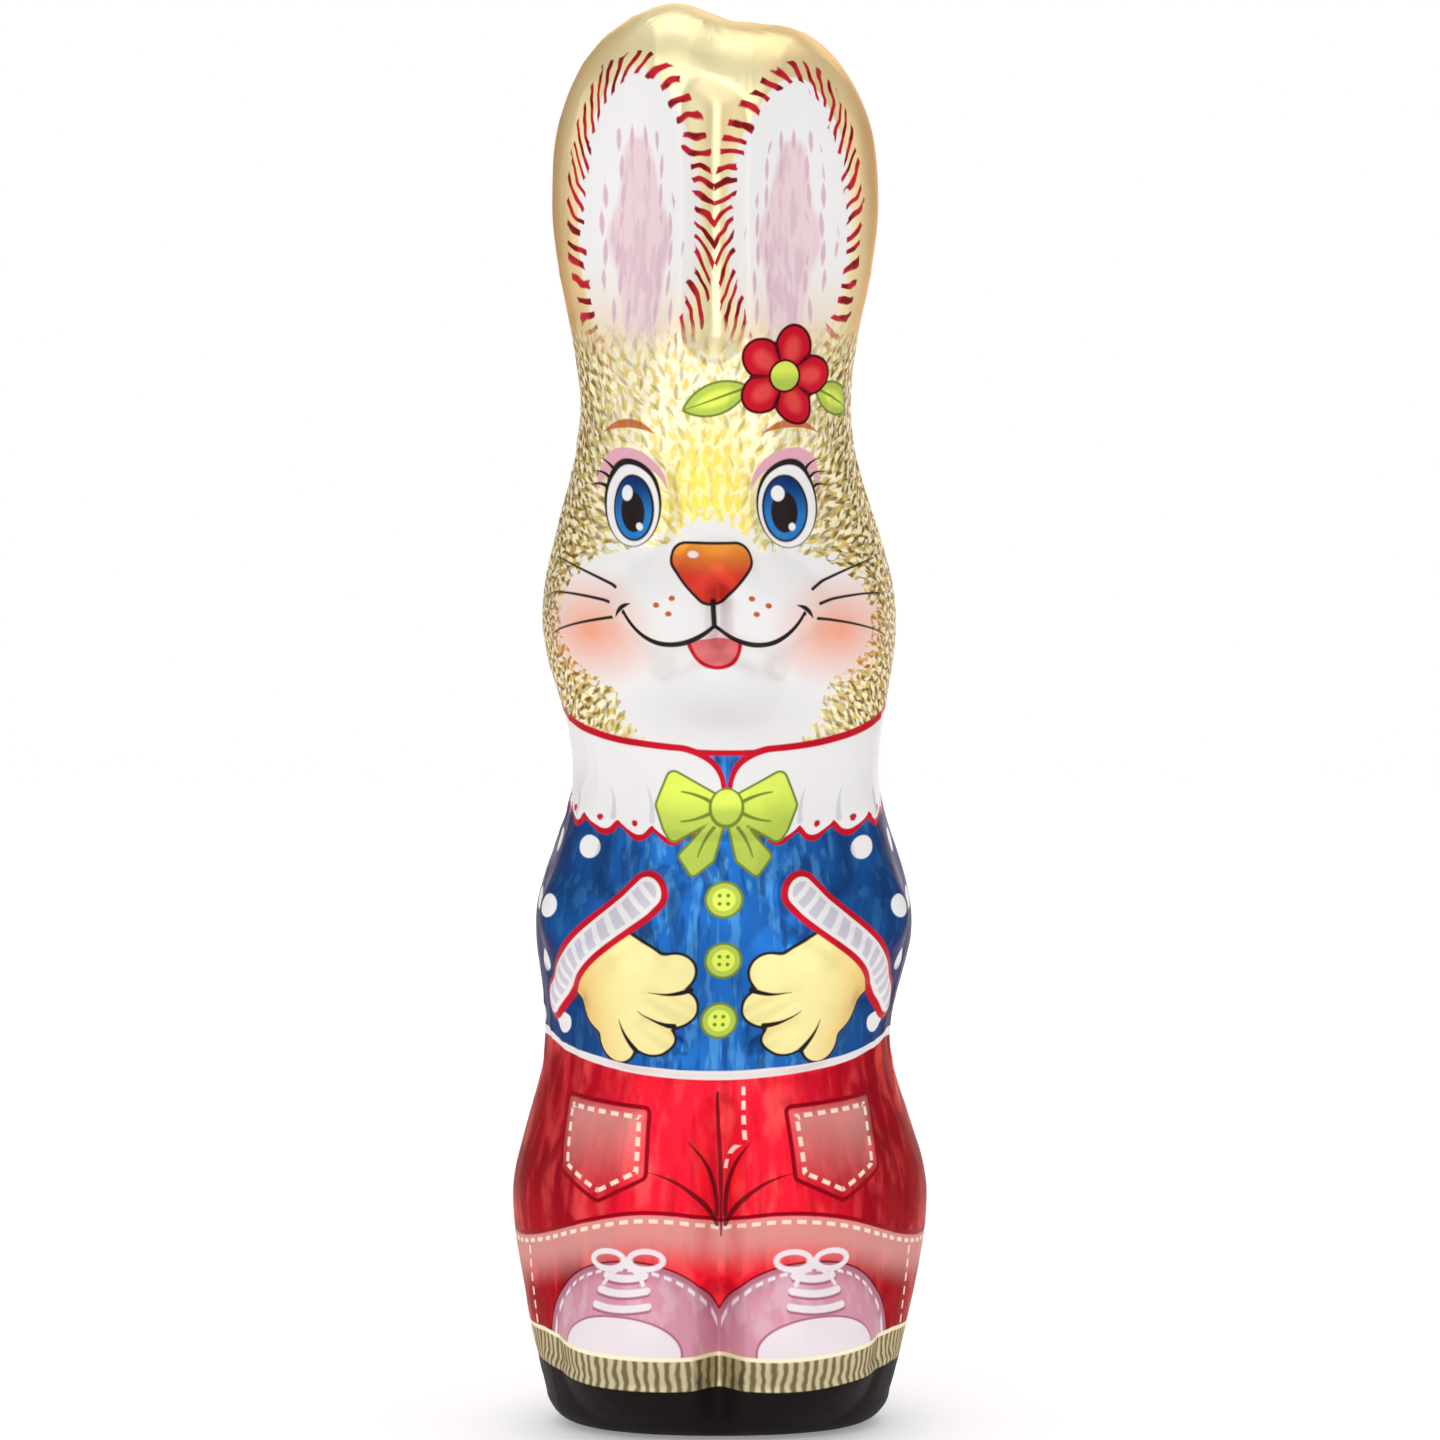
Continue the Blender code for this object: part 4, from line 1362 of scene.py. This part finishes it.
def foil_sheet(name, turn, front, centre, material):
    """One sheet of foil, with its print laid out on it."""
    skin = figure_skin(turn)
    if front:
        beyond = np.abs(turn) > math.pi / 2.0
        seam = skin.across + skin.beyond_seam
        across = np.where(beyond, seam + np.abs(skin.beyond_seam), skin.across)
        skin = skin._replace(across=across)
    points = sheet_points(skin, turn, front)
    mesh = grid_mesh(name, (points - centre) * MM)
    flat = print_places(skin, turn, front)
    store(mesh, "place", np.stack([flat.s, flat.z, 0.0 * flat.s], axis=-1), "FLOAT_VECTOR")
    for shape, distance in (front_shapes if front else back_shapes)(flat).items():
        store(mesh, shape, distance)
    unfold(mesh, *points.shape[:2])
    mesh.materials.append(material)
    sheet = bpy.data.objects.new(name, mesh)
    bpy.context.scene.collection.objects.link(sheet)
    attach(sheet, BODY)
    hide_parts(NODE)
    return sheet


def build_foil():
    """Builds both sheets of foil, and gives the front one."""
    groups = (stroke_group(), scatter_group())
    height = row_profile()[0]
    rows = np.stack([height / LAP_CELL, 0.0 * height, 0.0 * height], axis=-1)
    edge = math.pi / 2.0 + LAP_TURN + LAP_WANDER * noise(rows, 9)
    front_turn = edge[:, None] * np.linspace(-1.0, 1.0, FRONT_COLUMNS)[None, :]
    back_turn = np.linspace(math.pi / 2.0, math.pi * 1.5, BACK_COLUMNS)[None, :]
    back_turn = np.where(back_turn > math.pi, back_turn - math.tau, back_turn)
    all_round = np.linspace(-math.pi, math.pi, ROUND_SAMPLES)[None, :]
    centre = centre_of(figure_skin(all_round).points)
    front = foil_sheet("front_foil", front_turn, True, centre, front_print(*groups))
    foil_sheet("back_foil", back_turn, False, centre, back_print(*groups))
    return front


# The studio, in metres, radians and watts; the photograph's frame in its own pixels

CAMERA_ELEVATION = math.radians(5.5)
CAMERA_DISTANCE = 0.95
FRAME_PIXELS = 1440.0
FIGURE_TOP = 3.0
FIGURE_BOTTOM = 1436.0
SENSOR_MM = 36.0
AIM_ROUNDS = 4
FLOOR_SIZE = 1.3
FLOOR_HEIGHT = -0.0004
FLOOR_GLOW = 0.25
ROOM_STRENGTH = 0.62
SOFT_STRENGTH = 0.57
LIGHT_TARGET = (0.0, 0.0, 0.075)
LIGHTS = (
    ("key", (-0.12, -0.80, 0.35), (0.8, 0.8), 2.3),
    ("left", (-0.75, -0.15, 0.15), (0.5, 0.7), 0.5),
    ("right", (0.75, -0.15, 0.15), (0.5, 0.7), 0.5),
    ("top", (0.0, 0.05, 0.80), (0.6, 0.6), 1.0),
    ("back", (0.1, 0.80, 0.30), (0.8, 0.8), 2.3),
)


def add_floor():
    """A plain pale floor, just under the sole."""
    bpy.ops.mesh.primitive_plane_add(size=FLOOR_SIZE, location=(0.0, 0.0, FLOOR_HEIGHT))
    floor = bpy.context.object
    floor.name = "floor"
    material = bpy.data.materials.new("floor")
    material.use_nodes = True
    for socket, value in (
        ("Base Color", (0.9, 0.9, 0.9, 1.0)),
        ("Roughness", 0.9),
        ("Emission Color", (1.0, 1.0, 1.0, 1.0)),
        ("Emission Strength", FLOOR_GLOW),
    ):
        material.node_tree.nodes["Principled BSDF"].inputs[socket].default_value = value
    floor.data.materials.append(material)


def add_light(name, place, size, watts):
    """A soft rectangular light, which the camera doesn't see itself."""
    light = bpy.data.lights.new(name, "AREA")
    light.shape = "RECTANGLE"
    light.size, light.size_y = size
    light.energy = watts
    lamp = bpy.data.objects.new(name, light)
    lamp.location = place
    aim = Vector(LIGHT_TARGET) - Vector(place)
    lamp.rotation_euler = aim.to_track_quat("-Z", "Y").to_euler()
    lamp.visible_camera = False
    bpy.context.scene.collection.objects.link(lamp)


def add_world():
    """White where the camera looks past the figure, and a dimmer grey room in the foil."""
    world = bpy.data.worlds.new("studio")
    bpy.context.scene.world = world
    world.use_nodes = True
    nodes, links = world.node_tree.nodes, world.node_tree.links
    path = nodes.new("ShaderNodeLightPath")

    def background(strength):
        node = nodes.new("ShaderNodeBackground")
        node.inputs["Color"].default_value = (1.0, 1.0, 1.0, 1.0)
        node.inputs["Strength"].default_value = strength
        return node.outputs[0]

    def chosen(ray, otherwise, here):
        node = nodes.new("ShaderNodeMixShader")
        links.new(path.outputs[ray], node.inputs[0])
        links.new(otherwise, node.inputs[1])
        links.new(here, node.inputs[2])
        return node.outputs[0]

    room = chosen("Is Diffuse Ray", background(ROOM_STRENGTH), background(SOFT_STRENGTH))
    seen = chosen("Is Camera Ray", room, background(1.0))
    links.new(seen, nodes["World Output"].inputs["Surface"])


def add_camera(figure):
    """A long lens from a little above, framed as the photograph is."""
    corners = np.empty(len(figure.data.vertices) * 3)
    figure.data.vertices.foreach_get("co", corners)
    corners = corners.reshape(-1, 3)
    forward = np.array([0.0, math.cos(CAMERA_ELEVATION), -math.sin(CAMERA_ELEVATION)])
    upward = np.array([0.0, math.sin(CAMERA_ELEVATION), math.cos(CAMERA_ELEVATION)])
    aim = np.array([0.0, 0.0, (CAD_BOX[0].z + CAD_BOX[1].z) / 2.0])
    for _ in range(AIM_ROUNDS):
        seen = corners - (aim - forward * CAMERA_DISTANCE)
        rise = (seen @ upward) / (seen @ forward)
        span = rise.max() - rise.min()
        middle = (rise.max() + rise.min()) / 2.0
        pixels = (FIGURE_BOTTOM - FIGURE_TOP) / span
        drop = ((FIGURE_TOP + FIGURE_BOTTOM) / 2.0 - FRAME_PIXELS / 2.0) / pixels
        aim = aim + upward * (middle + drop) * CAMERA_DISTANCE
    camera = bpy.data.cameras.new("camera")
    camera.sensor_width = SENSOR_MM
    camera.lens = SENSOR_MM * pixels / FRAME_PIXELS
    eye = bpy.data.objects.new("camera", camera)
    eye.location = Vector(aim - forward * CAMERA_DISTANCE)
    eye.rotation_euler = (math.pi / 2.0 - CAMERA_ELEVATION, 0.0, 0.0)
    bpy.context.scene.collection.objects.link(eye)
    bpy.context.scene.camera = eye


BODY = next(iter(frame["bodies"]))
add_camera(build_foil())
add_world()
for light in LIGHTS:
    add_light(*light)
add_floor()
bpy.context.scene.view_settings.view_transform = "Standard"
